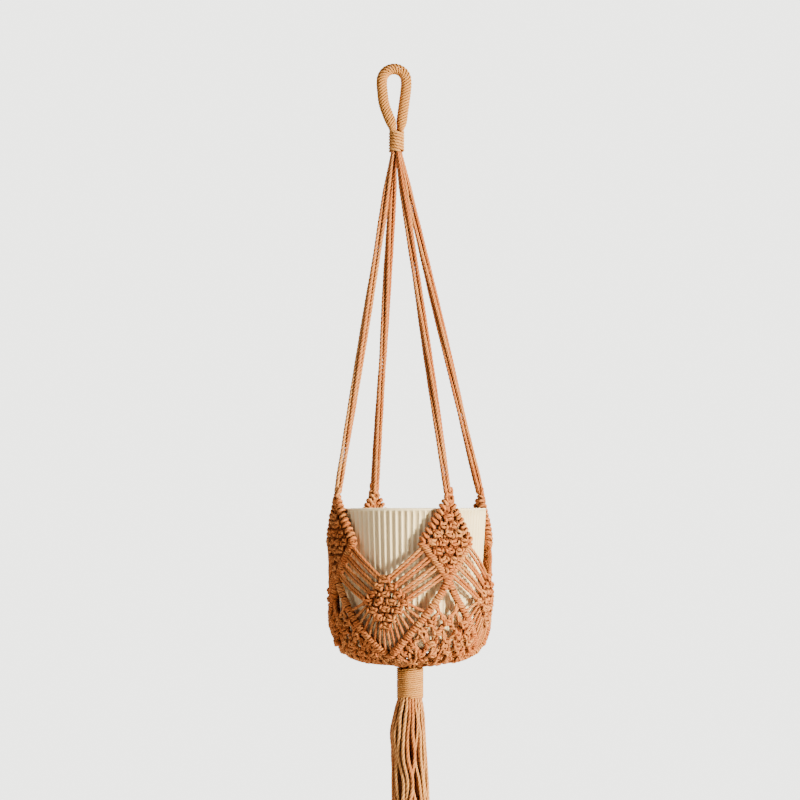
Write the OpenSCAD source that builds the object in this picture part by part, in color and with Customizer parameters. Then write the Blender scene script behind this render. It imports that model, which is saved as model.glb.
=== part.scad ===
// Hanging macrame planter: a knotted cord hanger with a fluted ceramic pot in its basket.
// Origin: where the hook bears on the inner top of the hanging loop. +Z is up, -Y is the front.

/* [Pot] */
// Outer diameter of the pot at its rim
pot_rim_d = 152; // [148:1:156]
// Height of the pot
pot_h = 140; // [134:1:146]
// Lean of the pot's side from upright, in degrees
pot_taper = 3.6; // [3.2:0.1:4]
// Thickness of the pot's wall
pot_wall = 4; // [3:0.5:5]
// Radius of the pot's outer bottom corner
pot_corner_r = 15; // [13:1:17]
// Number of flutes round the pot
flute_count = 82; // [60:1:90]
// Depth of one flute
flute_depth = 0.9; // [0.5:0.1:1.2]
// Height of the plain lip above the flutes
lip_h = 2; // [2:1:10]

/* [Hanger] */
// Drop from the neck wrap to the top of the basket
arm_drop = 342; // [320:1:400]
// Turn of the four arms about the upright axis, in degrees from the front
arm_turn = 27; // [0:1:45]
// Sideways offset of the basket from the hook, as the hanger hangs
lean = 16; // [0:1:18]
// Thickness of one arm, a bundle of four cords
arm_d = 8.6; // [7:0.1:9]
// Diameter of one thin working cord
cord_d = 3.2; // [2.6:0.1:3.4]

/* [Loop and neck] */
// Clear width of the loop's eye
eye_w = 14; // [12:1:16]
// Height of the loop's eye
eye_h = 50; // [48:1:60]
// Thickness of the wrapped loop
loop_d = 10.5; // [9:0.5:11]
// Height of the wrap that gathers the neck
neck_h = 22; // [18:1:30]
// Thickness of the neck wrap
neck_d = 14; // [13.6:0.1:15]

/* [Basket] */
// Width of one knotted diamond between the middles of its borders
diamond_w = 54; // [48:1:56]
// Height of one knotted diamond between the middles of its borders
diamond_h = 69; // [62:1:70]
// Width of one knot cluster between two diamonds
cluster_w = 52; // [46:1:54]
// Height of one knot cluster
cluster_h = 54; // [48:1:56]
// Thickness of the knotted panels
knot_t = 7.6; // [6:0.2:7.8]
// Thickness of a hitched border or ridge
ridge_d = 6.6; // [6:0.2:6.8]

/* [Tassel] */
// Thickness of the wrap under the basket
tassel_wrap_d = 25.6; // [24:0.2:27]
// Height of the wrap under the basket
tassel_wrap_h = 33; // [30:1:40]
// Length of the strands below that wrap
strand_len = 250; // [150:5:300]
// Spread of the strands at their ends
tassel_d = 40; // [36:1:44]

/* [Hidden] */

// Running clearance between pieces of different bodies, and between neighbours in one body
gap = 0.5;
fine = 64;

// Heights, from the hook contact down
loop_r = loop_d / 2;
bend_r = eye_w / 2 + loop_r;
neck_x = 2.5;
neck_top = -eye_h - 7;
neck_bottom = neck_top - neck_h;
neck_r = neck_d / 2;
neck_bore_r = neck_r - 1.2;
apex_z = neck_bottom - arm_drop;
basket_top = apex_z - 4;
rim_z = basket_top - 11;
pot_base = rim_z - pot_h;
pot_r = pot_rim_d / 2;
basket_r = pot_r + 4;

// The basket's skin, the middle surface of all its knots: [distance in from the widest
// radius, height above the pot's base], from its top edge down the wall and under the pot
skin_drops = [[0, 151], [0, 76], [1, 50], [3, 26], [6.8, 12.5], [12.2, 2.5], [20.6, -4.2], [34, -9],
    [50, -12.5], [66, -16]];
skin_rz = [for (d = skin_drops) [basket_r - d[0], pot_base + d[1]]];
function skin_run(i) = i == 0 ? 0 : skin_run(i - 1) + norm(skin_rz[i] - skin_rz[i - 1]);
r_by_run = [for (i = [0 : len(skin_rz) - 1]) [skin_run(i), skin_rz[i][0]]];
z_by_run = [for (i = [0 : len(skin_rz) - 1]) [skin_run(i), skin_rz[i][1]]];

// Slope of the skin at a run, as a unit [r, z] direction pointing down the wall
slope_reach = 2;
function skin_slope(run) = unit([
    lookup(run + slope_reach, r_by_run) - lookup(run - slope_reach, r_by_run),
    lookup(run + slope_reach, z_by_run) - lookup(run - slope_reach, z_by_run)]);
function skin_normal(turn, run) = let (s = skin_slope(run)) [-s[1] * sin(turn), s[1] * cos(turn), s[0]];
// A point on the skin: turn in degrees from the front, run down the skin, out from its middle
function on_skin(turn, run, out = 0) = let (r = lookup(run, r_by_run))
    [lean + r * sin(turn), -r * cos(turn), lookup(run, z_by_run)] + out * skin_normal(turn, run);
function turn_of(mm) = mm / basket_r * 180 / PI;

// Panels: their middles and half sizes, along the wall and down the skin
side_names = ["front_right", "back_right", "back_left", "front_left"];
bay_names = ["front", "right", "back", "left"];
bay_w = basket_r * PI / 2;
diamond_run = 9.6 + diamond_h / 2;
diamond_foot = diamond_run + diamond_h / 2;
cluster_run = diamond_foot + 23;
half_diamond = [diamond_w / 2, diamond_h / 2];
half_cluster = [cluster_w / 2, cluster_h / 2];

// The lower ridge of a bay: share 0 is under a diamond, share 1 at the middle of the bay
ridge_fall = 80;
ridge_bend = 0.79;
ridge_start = 0.07;
function ridge_run(share) = diamond_foot + ridge_fall * pow(share, ridge_bend);
net_end_run = skin_run(8);

// Tassel heights
wrap_pivot_z = pot_base - 28.8;
tassel_wrap_r = tassel_wrap_d / 2;
tassel_bore_r = tassel_wrap_r - 2.4;
wrap_bottom = wrap_pivot_z + tassel_wrap_r - tassel_wrap_h;
crown_r = 14;
crown_z = wrap_bottom - crown_r - gap;
strand_end_z = wrap_bottom - strand_len;

function unit(v) = v / norm(v);
function turned(v, a) = [v[0] * cos(a) - v[1] * sin(a), v[0] * sin(a) + v[1] * cos(a), v[2]];

// One ring of a swept tube: path points, the outward reference at each, and the radius there
function ring(path, refs, radii, i, sides, closed) = let (
    last = len(path) - 1,
    before = path[i > 0 ? i - 1 : (closed ? last : 0)],
    after = path[i < last ? i + 1 : (closed ? 0 : last)],
    along = unit(after - before),
    side = unit(cross(along, refs[i])),
    up = cross(side, along))
    [for (k = [0 : sides - 1]) path[i] + radii[i] * (cos(360 * k / sides) * side + sin(360 * k / sides) * up)];
function wall_faces(rings, sides, first, closed) = [
    for (i = [0 : closed ? rings - 1 : rings - 2]) for (k = [0 : sides - 1]) let (
        a = first + i * sides + k, b = first + i * sides + (k + 1) % sides,
        c = first + ((i + 1) % rings) * sides + (k + 1) % sides, d = first + ((i + 1) % rings) * sides + k)
        each [[a, c, b], [a, d, c]]];
function cap_faces(rings, sides, first) = [
    [for (k = [0 : sides - 1]) first + k],
    [for (k = [sides - 1 : -1 : 0]) first + (rings - 1) * sides + k]];

// One polyhedron of separate tubes; every path has the same number of points
module tubes(paths, refs, radii, sides = 8, closed = false) {
    rings = len(paths[0]);
    points = [for (p = [0 : len(paths) - 1]) for (i = [0 : rings - 1])
        each ring(paths[p], refs[p], radii, i, sides, closed)];
    faces = [for (p = [0 : len(paths) - 1]) let (first = p * rings * sides)
        each concat(wall_faces(rings, sides, first, closed), closed ? [] : cap_faces(rings, sides, first))];
    polyhedron(points, faces, convexity = 10);
}

// A tube with a bore, such as a wrap round a bundle
module hollow_tube(path, refs, r_out, r_in, sides) {
    rings = len(path);
    count = rings * sides;
    function all_rings(r) = [for (i = [0 : rings - 1])
        each ring(path, refs, [for (p = path) r], i, sides, false)];
    outer = wall_faces(rings, sides, 0, false);
    inner = [for (f = wall_faces(rings, sides, count, false)) [f[0], f[2], f[1]]];
    ends = [for (k = [0 : sides - 1]) let (n = (k + 1) % sides, e = (rings - 1) * sides) each [
        [k, n, count + k], [n, count + n, count + k],
        [e + k, count + e + k, e + n], [e + n, count + e + k, count + e + n]]];
    polyhedron(concat(all_rings(r_out), all_rings(r_in)), concat(outer, inner, ends), convexity = 10);
}

// A closed slab on the skin from a grid of [turn, run] rows, half thick each side of the middle
module slab(rows, half) {
    m = len(rows);
    n = len(rows[0]);
    count = m * n;
    points = [for (out = [half, -half]) for (row = rows) for (p = row) on_skin(p[0], p[1], out)];
    function cell(i, j) = [i * n + j, i * n + j + 1, (i + 1) * n + j + 1, (i + 1) * n + j];
    function back(f) = [for (k = [len(f) - 1 : -1 : 0]) f[k] + count];
    front = [for (i = [0 : m - 2]) for (j = [0 : n - 2]) let (c = cell(i, j))
        each [[c[0], c[1], c[2]], [c[0], c[2], c[3]]]];
    edge = concat([for (j = [0 : n - 1]) j], [for (i = [1 : m - 1]) i * n + n - 1],
        [for (j = [n - 2 : -1 : 0]) (m - 1) * n + j], [for (i = [m - 2 : -1 : 1]) i * n]);
    rim = [for (e = [0 : len(edge) - 1]) let (a = edge[e], b = edge[(e + 1) % len(edge)])
        each [[b, a, a + count], [b, a + count, b + count]]];
    polyhedron(points, concat(front, [for (f = front) back(f)], rim), convexity = 10);
}

// Rows of a diamond-shaped grid round a middle, as [turn, run]
grid_steps = 6;
function diamond_rows(turn, run, half) = [for (i = [0 : grid_steps]) [for (j = [0 : grid_steps]) let (
    u = 2 * i / grid_steps - 1, v = 2 * j / grid_steps - 1)
    [turn + turn_of((v - u) / 2 * half[0]), run + (u + v) / 2 * half[1]]]];

// How far a half size comes in when its four edges move in by a distance
function inset(half, by) = half * (1 - by * norm(half) / (half[0] * half[1]));

// Loop: a bundle of cords bent to a teardrop, and the cord wrapped round it
loop_legs = [[0, 0], [0.6, -11], [2.2, -23], [4.8, -34], [7.4, -43]];
loop_cross = 2.4;
function loop_leg(side) = [for (i = [0 : len(loop_legs) - 1]) let (p = loop_legs[i])
    [side * (bend_r - p[0]), side * loop_cross * i / (len(loop_legs) - 1), -eye_w / 2 + p[1]]];
loop_path = concat([for (i = [len(loop_legs) - 1 : -1 : 0]) loop_leg(-1)[i]],
    [for (a = [165 : -15 : 15]) [bend_r * cos(a), 0, -eye_w / 2 + bend_r * sin(a)]],
    loop_leg(1));
loop_refs = [for (p = loop_path) [0, 1, 0]];
loop_bore_r = loop_r - 1.6;

module loop_cords() {
    color("sienna")
        tubes([loop_path], [loop_refs], [for (p = loop_path) loop_bore_r - 0.2], 8);
}

module loop_wrap() {
    color("peru")
        hollow_tube(loop_path, loop_refs, loop_r, loop_bore_r, 10);
}

// Neck: the loop's two legs brought together, and the wrap that binds them.
// Its top is a ball round the swing axis, so it turns under the loop without meeting it.
neck_ball_r = neck_r - 0.3;
neck_cords_end = neck_bottom + 5;

module neck_cords() {
    color("sienna")
        translate([neck_x, 0, neck_top]) {
            intersection() {
                sphere(r = neck_ball_r, $fn = fine);
                translate([0, 0, neck_ball_r / 2 + 0.1])
                    cube([3 * neck_ball_r, 3 * neck_ball_r, neck_ball_r], center = true);
            }
            translate([0, 0, neck_cords_end - neck_top])
                cylinder(r = neck_bore_r - 0.2, h = neck_top - neck_cords_end + 0.3, $fn = fine);
        }
}

module neck_wrap() {
    color("peru")
        translate([neck_x, 0, neck_bottom])
            difference() {
                cylinder(r = neck_r, h = neck_h - 0.1, $fn = fine);
                translate([0, 0, -1])
                    cylinder(r = neck_bore_r, h = neck_h + 2, $fn = fine);
            }
}

// Arms: four bundles that leave the neck side by side and swell as they spread
arm_in_neck_r = neck_bore_r / 2.62;
arm_start_z = neck_bottom + 4;
arm_swell = [[0, arm_in_neck_r], [60, arm_d / 2], [500, arm_d / 2]];
function arm_turn_of(i) = arm_turn + 90 * i;
function arm_foot(i) = [lean + basket_r * sin(arm_turn_of(i)), -basket_r * cos(arm_turn_of(i)), apex_z];
function arm_head(i, z) = let (r = neck_bore_r - arm_in_neck_r - 0.35)
    [neck_x + r * sin(arm_turn_of(i)), -r * cos(arm_turn_of(i)), z];
function arm_path(i) = concat([arm_head(i, arm_start_z), arm_head(i, neck_bottom)],
    [for (s = [0.06, 0.12, 0.18, 0.5, 1]) arm_head(i, neck_bottom) * (1 - s) + arm_foot(i) * s]);

module arm(i) {
    path = arm_path(i);
    color("chocolate")
        tubes([path], [[for (p = path) [0, 1, 0]]],
            [for (p = path) lookup(neck_bottom - p[2], arm_swell)], 8);
}

// Apex knots: where an arm's cords turn into the two upper borders of a diamond.
// The ball is cut flat on top, just under the arm's slanted end.
apex_r = 5.4;
apex_flat = 3.2;
apex_drop = apex_flat + 1.2;

module apex_knot(i) {
    color("chocolate")
        translate(arm_foot(i) - [0, 0, apex_drop])
            intersection() {
                sphere(r = apex_r, $fn = fine);
                translate([0, 0, (apex_flat - apex_r) / 2])
                    cube([3 * apex_r, 3 * apex_r, apex_flat + apex_r], center = true);
            }
}

// Diamonds: a filling of square knots inside a hitched border
module diamond(i) {
    color("burlywood")
        slab(diamond_rows(arm_turn_of(i), diamond_run, inset(half_diamond, ridge_d / 2 + gap)), knot_t / 2);
}

module border(i) {
    steps = 6;
    corners = [[0, -1], [1, 0], [0, 1], [-1, 0]];
    route = [for (c = [0 : 3]) for (s = [0 : steps - 1]) let (
        p = corners[c] * (1 - s / steps) + corners[(c + 1) % 4] * s / steps)
        [arm_turn_of(i) + turn_of(p[0] * half_diamond[0]), diamond_run + p[1] * half_diamond[1]]];
    color("peru")
        tubes([[for (p = route) on_skin(p[0], p[1])]], [[for (p = route) skin_normal(p[0], p[1])]],
            [for (p = route) ridge_d / 2], 8, closed = true);
}

// Straight cords laid on the skin between pairs of [turn, run] places
module skin_cords(starts, ends, r) {
    steps = 3;
    routes = [for (k = [0 : len(starts) - 1]) [for (s = [0 : steps]) starts[k] * (1 - s / steps) + ends[k] * s / steps]];
    tubes([for (route = routes) [for (p = route) on_skin(p[0], p[1])]],
        [for (route = routes) [for (p = route) skin_normal(p[0], p[1])]],
        [for (s = [0 : steps]) r], 6);
}

// Bay cords: eight cords a side, in pairs, from a diamond's lower border to the cluster
pair_half = 0.17;
bay_shares = [for (pair = [0 : 3]) for (side = [-1, 1]) (pair + 0.5 + side * pair_half) / 4];
function bay_turn(i) = arm_turn_of(i) - 45;
edge_clear = ridge_d / 2 + 0.8;
cluster_clear = 1.4;

module bay_cords(i) {
    across = unit([half_diamond[1], half_diamond[0]]);
    over = unit([half_cluster[1], half_cluster[0]]);
    starts = [for (side = [-1, 1]) for (u = bay_shares) [
        bay_turn(i) + side * turn_of(bay_w / 2 - half_diamond[0] * (1 - u) - edge_clear * across[0]),
        diamond_run + half_diamond[1] * u + edge_clear * across[1]]];
    ends = [for (side = [-1, 1]) for (u = bay_shares) [
        bay_turn(i) + side * turn_of(half_cluster[0] * u + cluster_clear * over[0]),
        cluster_run - half_cluster[1] * (1 - u) - cluster_clear * over[1]]];
    color("sandybrown")
        skin_cords(starts, ends, cord_d / 2);
}

// Knot clusters: a diamond of square knots in the middle of each bay
module knot_cluster(i) {
    color("burlywood")
        slab(diamond_rows(bay_turn(i), cluster_run, half_cluster), knot_t / 2);
}

// Ray cords: eight cords a side, fanned from the cluster to the lower ridge
ray_first_share = 0.94;
ray_last_share = 0.33;
ray_clear = 1.6;
ray_stop = ridge_d / 2 + 3.2;

module ray_cords(i) {
    count = 8;
    over = unit([half_cluster[1], half_cluster[0]]);
    starts = [for (side = [-1, 1]) for (k = [0 : count - 1]) let (u = (k + 0.5) / count) [
        bay_turn(i) + side * turn_of(half_cluster[0] * u + ray_clear * over[0]),
        cluster_run + half_cluster[1] * (1 - u) + ray_clear * over[1]]];
    hits = [for (side = [-1, 1]) for (k = [0 : count - 1]) let (
        share = ray_first_share + (ray_last_share - ray_first_share) * k / (count - 1)) [
        bay_turn(i) + side * 45 * (1 - share), ridge_run(share)]];
    ends = [for (k = [0 : len(hits) - 1]) let (
        reach = norm([(hits[k][0] - starts[k][0]) / turn_of(1), hits[k][1] - starts[k][1]]))
        hits[k] + (starts[k] - hits[k]) * ray_stop / reach];
    color("sandybrown")
        skin_cords(starts, ends, cord_d / 2 - 0.2);
}

// Lower ridges: a hitched ridge from under one diamond, down to the middle of the bay and up
// to the next diamond
module lower_ridge(i) {
    steps = 12;
    shares = [for (k = [0 : steps]) ridge_start + (1 - ridge_start) * pow(k / steps, 1.2)];
    half = [for (s = shares) [45 * (1 - s), ridge_run(s)]];
    route = concat([for (p = half) [bay_turn(i) - p[0], p[1]]],
        [for (k = [steps - 1 : -1 : 0]) [bay_turn(i) + half[k][0], half[k][1]]]);
    color("peru")
        tubes([[for (p = route) on_skin(p[0], p[1])]], [[for (p = route) skin_normal(p[0], p[1])]],
            [for (p = route) ridge_d / 2], 8);
}

// Base nets: small knots under each diamond, between its two ridges and in under the pot
net_t = 5;
net_first = 24;
ridge_room = 6.4;

module base_net(i) {
    columns = 12;
    rows = 12;
    reach = 45 - turn_of(gap);
    function top_run(v) = max(diamond_foot + net_first, ridge_run(abs(v)) + ridge_room);
    color("tan")
        slab([for (row = [0 : rows]) [for (k = [0 : columns]) let (v = 2 * k / columns - 1, t = top_run(v))
            [arm_turn_of(i) + v * (reach - max(0, net_side_gap(row / rows))),
                t + (net_end_run - t) * row / rows]]], net_t / 2);
}
// Neighbouring nets stay a fixed width apart, so their edges draw in as the skin narrows
function net_side_gap(share) = 1.6 * share;

// Base gather: all the cords drawn together under the pot, ending just above the wrap's dome
gather_r = 28.6;
gather_rim_h = 4.5;

module base_gather() {
    top = pot_base - 9.5;
    bottom = wrap_pivot_z + tassel_wrap_r + gap;
    color("sienna")
        translate([lean, 0, 0])
            rotate_extrude($fn = fine)
                polygon([[0, top - 1.5], [gather_r, top], [gather_r, top - gather_rim_h],
                    [tassel_bore_r + 2, bottom], [0, bottom]]);
}

// Pot: a tapered ceramic pot with a round bottom corner, fluted below a plain lip
tan_taper = tan(pot_taper);
function pot_r_at(z) = pot_r - (rim_z - z) * tan_taper;
inner_corner_r = pot_corner_r - pot_wall;
floor_z = pot_base + pot_wall + 1;

module pot_shape(inset_r, bottom, corner) {
    side_r = pot_r_at(bottom + corner) - inset_r;
    translate([0, bottom])
        intersection() {
            union() {
                translate([side_r - corner, corner])
                    circle(r = corner, $fn = fine);
                square([side_r - corner, 2 * corner]);
                polygon([[0, corner], [side_r, corner], [pot_r - inset_r, rim_z - bottom], [0, rim_z - bottom]]);
            }
            square([pot_r, rim_z - bottom]);
        }
}

module pot() {
    flute_r = 4.2;
    flute_h = pot_h - lip_h - pot_corner_r;
    color("ivory")
        translate([lean, 0, 0])
            difference() {
                rotate_extrude($fn = 180)
                    difference() {
                        pot_shape(0, pot_base, pot_corner_r);
                        pot_shape(pot_wall, floor_z, inner_corner_r);
                        translate([0, rim_z - 0.1])
                            square([pot_r - pot_wall + 0.01, 1]);
                    }
                for (k = [0 : flute_count - 1])
                    rotate([0, 0, 360 * (k + 0.5) / flute_count])
                        translate([pot_r_at(rim_z - lip_h) + flute_r - flute_depth, 0, rim_z - lip_h])
                            rotate([0, pot_taper, 0])
                                translate([0, 0, -flute_h])
                                    cylinder(r = flute_r, h = flute_h, $fn = 24);
            }
}

// Tassel wrap: a turned cord round the gathered ends, with a domed top under the basket
dome_cut_z = 9.6;

module tassel_wrap() {
    color("goldenrod")
        translate([lean, 0, wrap_pivot_z])
            rotate_extrude($fn = fine)
                difference() {
                    union() {
                        intersection() {
                            circle(r = tassel_wrap_r, $fn = fine);
                            square([tassel_wrap_r, dome_cut_z]);
                        }
                        translate([0, wrap_bottom - wrap_pivot_z])
                            square([tassel_wrap_r, wrap_pivot_z - wrap_bottom]);
                    }
                    circle(r = tassel_bore_r, $fn = fine);
                    translate([-1, -2 * tassel_wrap_h])
                        square([tassel_bore_r + 1, 2 * tassel_wrap_h]);
                }
}

module tassel_cords() {
    core_r = tassel_bore_r - 0.2;
    color("sienna")
        translate([lean, 0, wrap_pivot_z])
            rotate_extrude($fn = fine)
                union() {
                    intersection() {
                        circle(r = core_r, $fn = fine);
                        square([core_r, core_r]);
                    }
                    translate([0, wrap_bottom - wrap_pivot_z])
                        square([core_r, wrap_pivot_z - wrap_bottom]);
                }
}

// Tassel: the strands bulge under the wrap and hang in locks
lock_d = 8;
outer_locks = 12;
inner_locks = 5;

module tassel_crown() {
    color("chocolate")
        translate([lean, 0, crown_z])
            intersection() {
                sphere(r = crown_r, $fn = fine);
                translate([0, 0, crown_r / 2])
                    cube([3 * crown_r, 3 * crown_r, crown_r], center = true);
            }
}

module locks(count, top_at, end_at, top_d, end_d, first_turn) {
    drop = crown_z - gap - strand_end_z;
    for (k = [0 : count - 1])
        translate([lean, 0, crown_z - gap])
            rotate([0, 0, first_turn + 360 * k / count])
                translate([top_at, 0, 0])
                    rotate([0, 180 - atan((end_at - top_at) / drop), 0])
                        cylinder(d1 = top_d, d2 = end_d, h = drop * 0.995, $fn = 24);
}

module tassel_outer_strands() {
    color("chocolate")
        locks(outer_locks, 13.4, tassel_d / 2 - lock_d / 2, 6.4, lock_d, 0);
}

module tassel_inner_strands() {
    color("sienna")
        locks(inner_locks, 5.6, 7, 6, 7, 18);
}

loop_cords();
loop_wrap();
neck_cords();
neck_wrap();
for (i = [0 : 3]) {
    arm(i);
    apex_knot(i);
    diamond(i);
    border(i);
    bay_cords(i);
    knot_cluster(i);
    ray_cords(i);
    lower_ridge(i);
    base_net(i);
}
base_gather();
pot();
tassel_wrap();
tassel_cords();
tassel_crown();
tassel_outer_strands();
tassel_inner_strands();
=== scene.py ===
"""Looks of the hanging macrame planter: plied cord, knots and a fluted pot on the CAD frame.

Lengths inside the classes are millimetres, and a mesh is turned to metres as it is made.
Up is +Z, the front is -Y, and the origin is where the hook bears inside the loop.
"""

from __future__ import annotations

import logging
import math
from collections.abc import Callable
from dataclasses import dataclass, field
from enum import Enum
from functools import partial

import bmesh
import bpy
import numpy as np
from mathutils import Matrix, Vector

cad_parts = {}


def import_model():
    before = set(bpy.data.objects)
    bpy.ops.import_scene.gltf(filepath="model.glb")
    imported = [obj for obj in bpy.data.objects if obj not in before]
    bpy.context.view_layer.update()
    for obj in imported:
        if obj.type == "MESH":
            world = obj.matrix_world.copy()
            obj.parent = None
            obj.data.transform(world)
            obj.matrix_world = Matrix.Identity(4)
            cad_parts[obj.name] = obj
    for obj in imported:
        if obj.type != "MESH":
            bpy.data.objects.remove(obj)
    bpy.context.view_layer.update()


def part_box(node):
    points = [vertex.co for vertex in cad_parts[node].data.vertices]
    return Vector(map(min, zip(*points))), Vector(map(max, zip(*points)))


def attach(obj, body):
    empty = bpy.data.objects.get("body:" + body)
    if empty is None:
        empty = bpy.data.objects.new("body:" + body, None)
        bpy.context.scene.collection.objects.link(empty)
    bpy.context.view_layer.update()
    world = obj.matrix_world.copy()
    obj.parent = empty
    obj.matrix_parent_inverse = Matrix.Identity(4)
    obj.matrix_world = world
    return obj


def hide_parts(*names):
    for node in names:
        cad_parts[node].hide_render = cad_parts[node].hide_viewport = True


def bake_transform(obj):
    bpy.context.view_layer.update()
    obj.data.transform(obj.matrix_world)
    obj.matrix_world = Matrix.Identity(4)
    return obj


LOG = logging.getLogger("planter")
MM = 0.001
TAU = 2 * math.pi


class Place(Enum):
    """A part of the basket whose label is spelt as in the names of the CAD nodes."""

    @property
    def label(self) -> str:
        """The place's name as the CAD nodes spell it."""
        return self.name.lower()


class Quarter(Place):
    """The four hanging arms, each with the knotted diamond under it, counted from the front."""

    FRONT_RIGHT = 0
    BACK_RIGHT = 1
    BACK_LEFT = 2
    FRONT_LEFT = 3


class Bay(Place):
    """The four open bays between the arms, each before the quarter of the same number."""

    FRONT = 0
    RIGHT = 1
    BACK = 2
    LEFT = 3


class Hand(Enum):
    """Which way a winding climbs, seen from outside."""

    RIGHT = 1
    LEFT = -1


# ---------------------------------------------------------------------------------------------
# Places
# ---------------------------------------------------------------------------------------------


def node_box(name: str) -> tuple[np.ndarray, np.ndarray]:
    """The lowest and highest corner of a CAD node, in millimetres."""
    low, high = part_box(name)
    return np.array(low) / MM, np.array(high) / MM


def eased(x: np.ndarray, start: float, end: float) -> np.ndarray:
    """A smooth step from 0 at start to 1 at end."""
    t = np.clip((np.asarray(x, float) - start) / (end - start), 0.0, 1.0)
    return t * t * (3 - 2 * t)


@dataclass(frozen=True)
class Layout:
    """Where the parts lie, in millimetres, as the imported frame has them."""

    lean: float
    rim_z: float
    pot_base: float
    pot_r: float
    neck_x: float
    neck_top: float
    neck_bottom: float
    neck_r: float
    wrap_r: float
    wrap_bottom: float
    wrap_top: float
    strand_end: float
    tassel_r: float
    arm_turn: float = 27.0
    basket_out: float = 4.0
    apex_rise: float = 15.0

    @classmethod
    def from_frame(cls) -> Layout:
        """Reads the layout from the boxes of the CAD nodes."""
        pot, neck = node_box("pot"), node_box("neck_wrap")
        wrap, strands = node_box("tassel_wrap"), node_box("tassel_outer_strands")

        def middle(box: tuple[np.ndarray, np.ndarray]) -> float:
            """The box's middle along X."""
            return float(box[0][0] + box[1][0]) / 2

        def radius(box: tuple[np.ndarray, np.ndarray]) -> float:
            """Half the box's width."""
            return float(box[1][0] - box[0][0]) / 2

        return cls(
            lean=middle(pot),
            rim_z=float(pot[1][2]),
            pot_base=float(pot[0][2]),
            pot_r=radius(pot),
            neck_x=middle(neck),
            neck_top=float(neck[1][2]),
            neck_bottom=float(neck[0][2]),
            neck_r=radius(neck),
            wrap_r=radius(wrap),
            wrap_bottom=float(wrap[0][2]),
            wrap_top=float(wrap[1][2]),
            strand_end=float(strands[0][2]),
            tassel_r=radius(strands),
        )

    @property
    def basket_r(self) -> float:
        """Radius of the knotted skin at the basket's top."""
        return self.pot_r + self.basket_out

    @property
    def apex_z(self) -> float:
        """Height where an arm's cords turn into a diamond's two borders."""
        return self.rim_z + self.apex_rise

    def turn_of(self, mm: float) -> float:
        """Degrees round the basket for a distance along its widest wall."""
        return math.degrees(mm / self.basket_r)

    def arm_at(self, quarter: Quarter) -> float:
        """Turn of an arm about the upright axis, in degrees from the front."""
        return self.arm_turn + 90.0 * quarter.value

    def bay_at(self, bay: Bay) -> float:
        """Turn of a bay's middle, in degrees from the front."""
        return self.arm_turn - 45.0 + 90.0 * bay.value


@dataclass
class Skin:
    """The middle surface of all the knots: down the pot's wall, round its corner and in under it."""

    layout: Layout
    drops: tuple[tuple[float, float], ...] = (
        (0, 151), (0, 76), (1, 50), (3, 26), (6.8, 12.5), (12.2, 2.5), (20.6, -4.2), (34, -9),
        (50, -12.5), (66, -16),
    )  # fmt: skip
    runs: np.ndarray = field(init=False)
    rz: np.ndarray = field(init=False)
    tilt: np.ndarray = field(init=False)

    def __post_init__(self) -> None:
        """Lays out the profile with its run lengths and slopes."""
        drops = np.array(self.drops)
        self.rz = np.stack([self.layout.basket_r - drops[:, 0], self.layout.pot_base + drops[:, 1]], 1)
        self.runs = walked_along(self.rz)
        self.tilt = np.gradient(self.rz, self.runs, axis=0)
        self.tilt[:2] = [0.0, -1.0]

    def profile(self, run: np.ndarray) -> tuple[np.ndarray, np.ndarray]:
        """Smooth radius and height at a run, and the unit direction down the skin there.

        Args:
            run: Distances down the skin from its top edge.

        Returns:
            The [r, z] places and the unit [r, z] directions.
        """
        run = np.clip(np.asarray(run, float), -14.0, self.runs[-1] - 0.01)
        above = np.minimum(run, 0.0)
        inside = np.maximum(run, 0.0)
        i = np.clip(np.searchsorted(self.runs, inside, side="right") - 1, 0, len(self.runs) - 2)
        h = (self.runs[i + 1] - self.runs[i])[..., None]
        t = ((inside - self.runs[i]) / h[..., 0])[..., None]
        p0, p1, m0, m1 = self.rz[i], self.rz[i + 1], self.tilt[i] * h, self.tilt[i + 1] * h
        place = through(t, (p0, p1), (m0, m1))
        place[..., 1] -= above
        slope = (6 * t**2 - 6 * t) * (p0 - p1) + (3 * t**2 - 4 * t + 1) * m0 + (3 * t**2 - 2 * t) * m1
        return place, unit(slope)

    def place(self, turn: np.ndarray, run: np.ndarray, out: np.ndarray) -> np.ndarray:
        """Points on the skin.

        Args:
            turn: Degrees from the front.
            run: Distances down the skin.
            out: Distances outward from its middle.

        Returns:
            The points, in millimetres.
        """
        rz, slope = self.profile(run)
        angle = np.radians(turn)
        radius = rz[..., 0] - slope[..., 1] * out
        height = rz[..., 1] + slope[..., 0] * out
        return np.stack(
            [self.layout.lean + radius * np.sin(angle), -radius * np.cos(angle), height], axis=-1
        )

    def lift(self, local: np.ndarray, turn: float, run: float) -> np.ndarray:
        """Lays a line given as [across, down, out] millimetres onto the skin round a middle."""
        local = np.asarray(local, float)
        across = np.degrees(local[:, 0] / self.layout.basket_r)
        return self.place(turn + across, run + local[:, 1], local[:, 2])


def walked_along(line: np.ndarray) -> np.ndarray:
    """Distance walked to each point of a line."""
    return np.concatenate([[0], np.cumsum(np.linalg.norm(np.diff(line, axis=0), axis=1))])


def through(
    t: np.ndarray, ends: tuple[np.ndarray, np.ndarray], ways: tuple[np.ndarray, np.ndarray]
) -> np.ndarray:
    """Points on the cubic that leaves one end and reaches the other in given directions.

    Args:
        t: Shares of the way, from 0 to 1.
        ends: The two ends.
        ways: How it moves there for a whole unit of t.

    Returns:
        The points.
    """
    return (
        (2 * t**3 - 3 * t**2 + 1) * ends[0]
        + (t**3 - 2 * t**2 + t) * ways[0]
        + (3 * t**2 - 2 * t**3) * ends[1]
        + (t**3 - t**2) * ways[1]
    )


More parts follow.
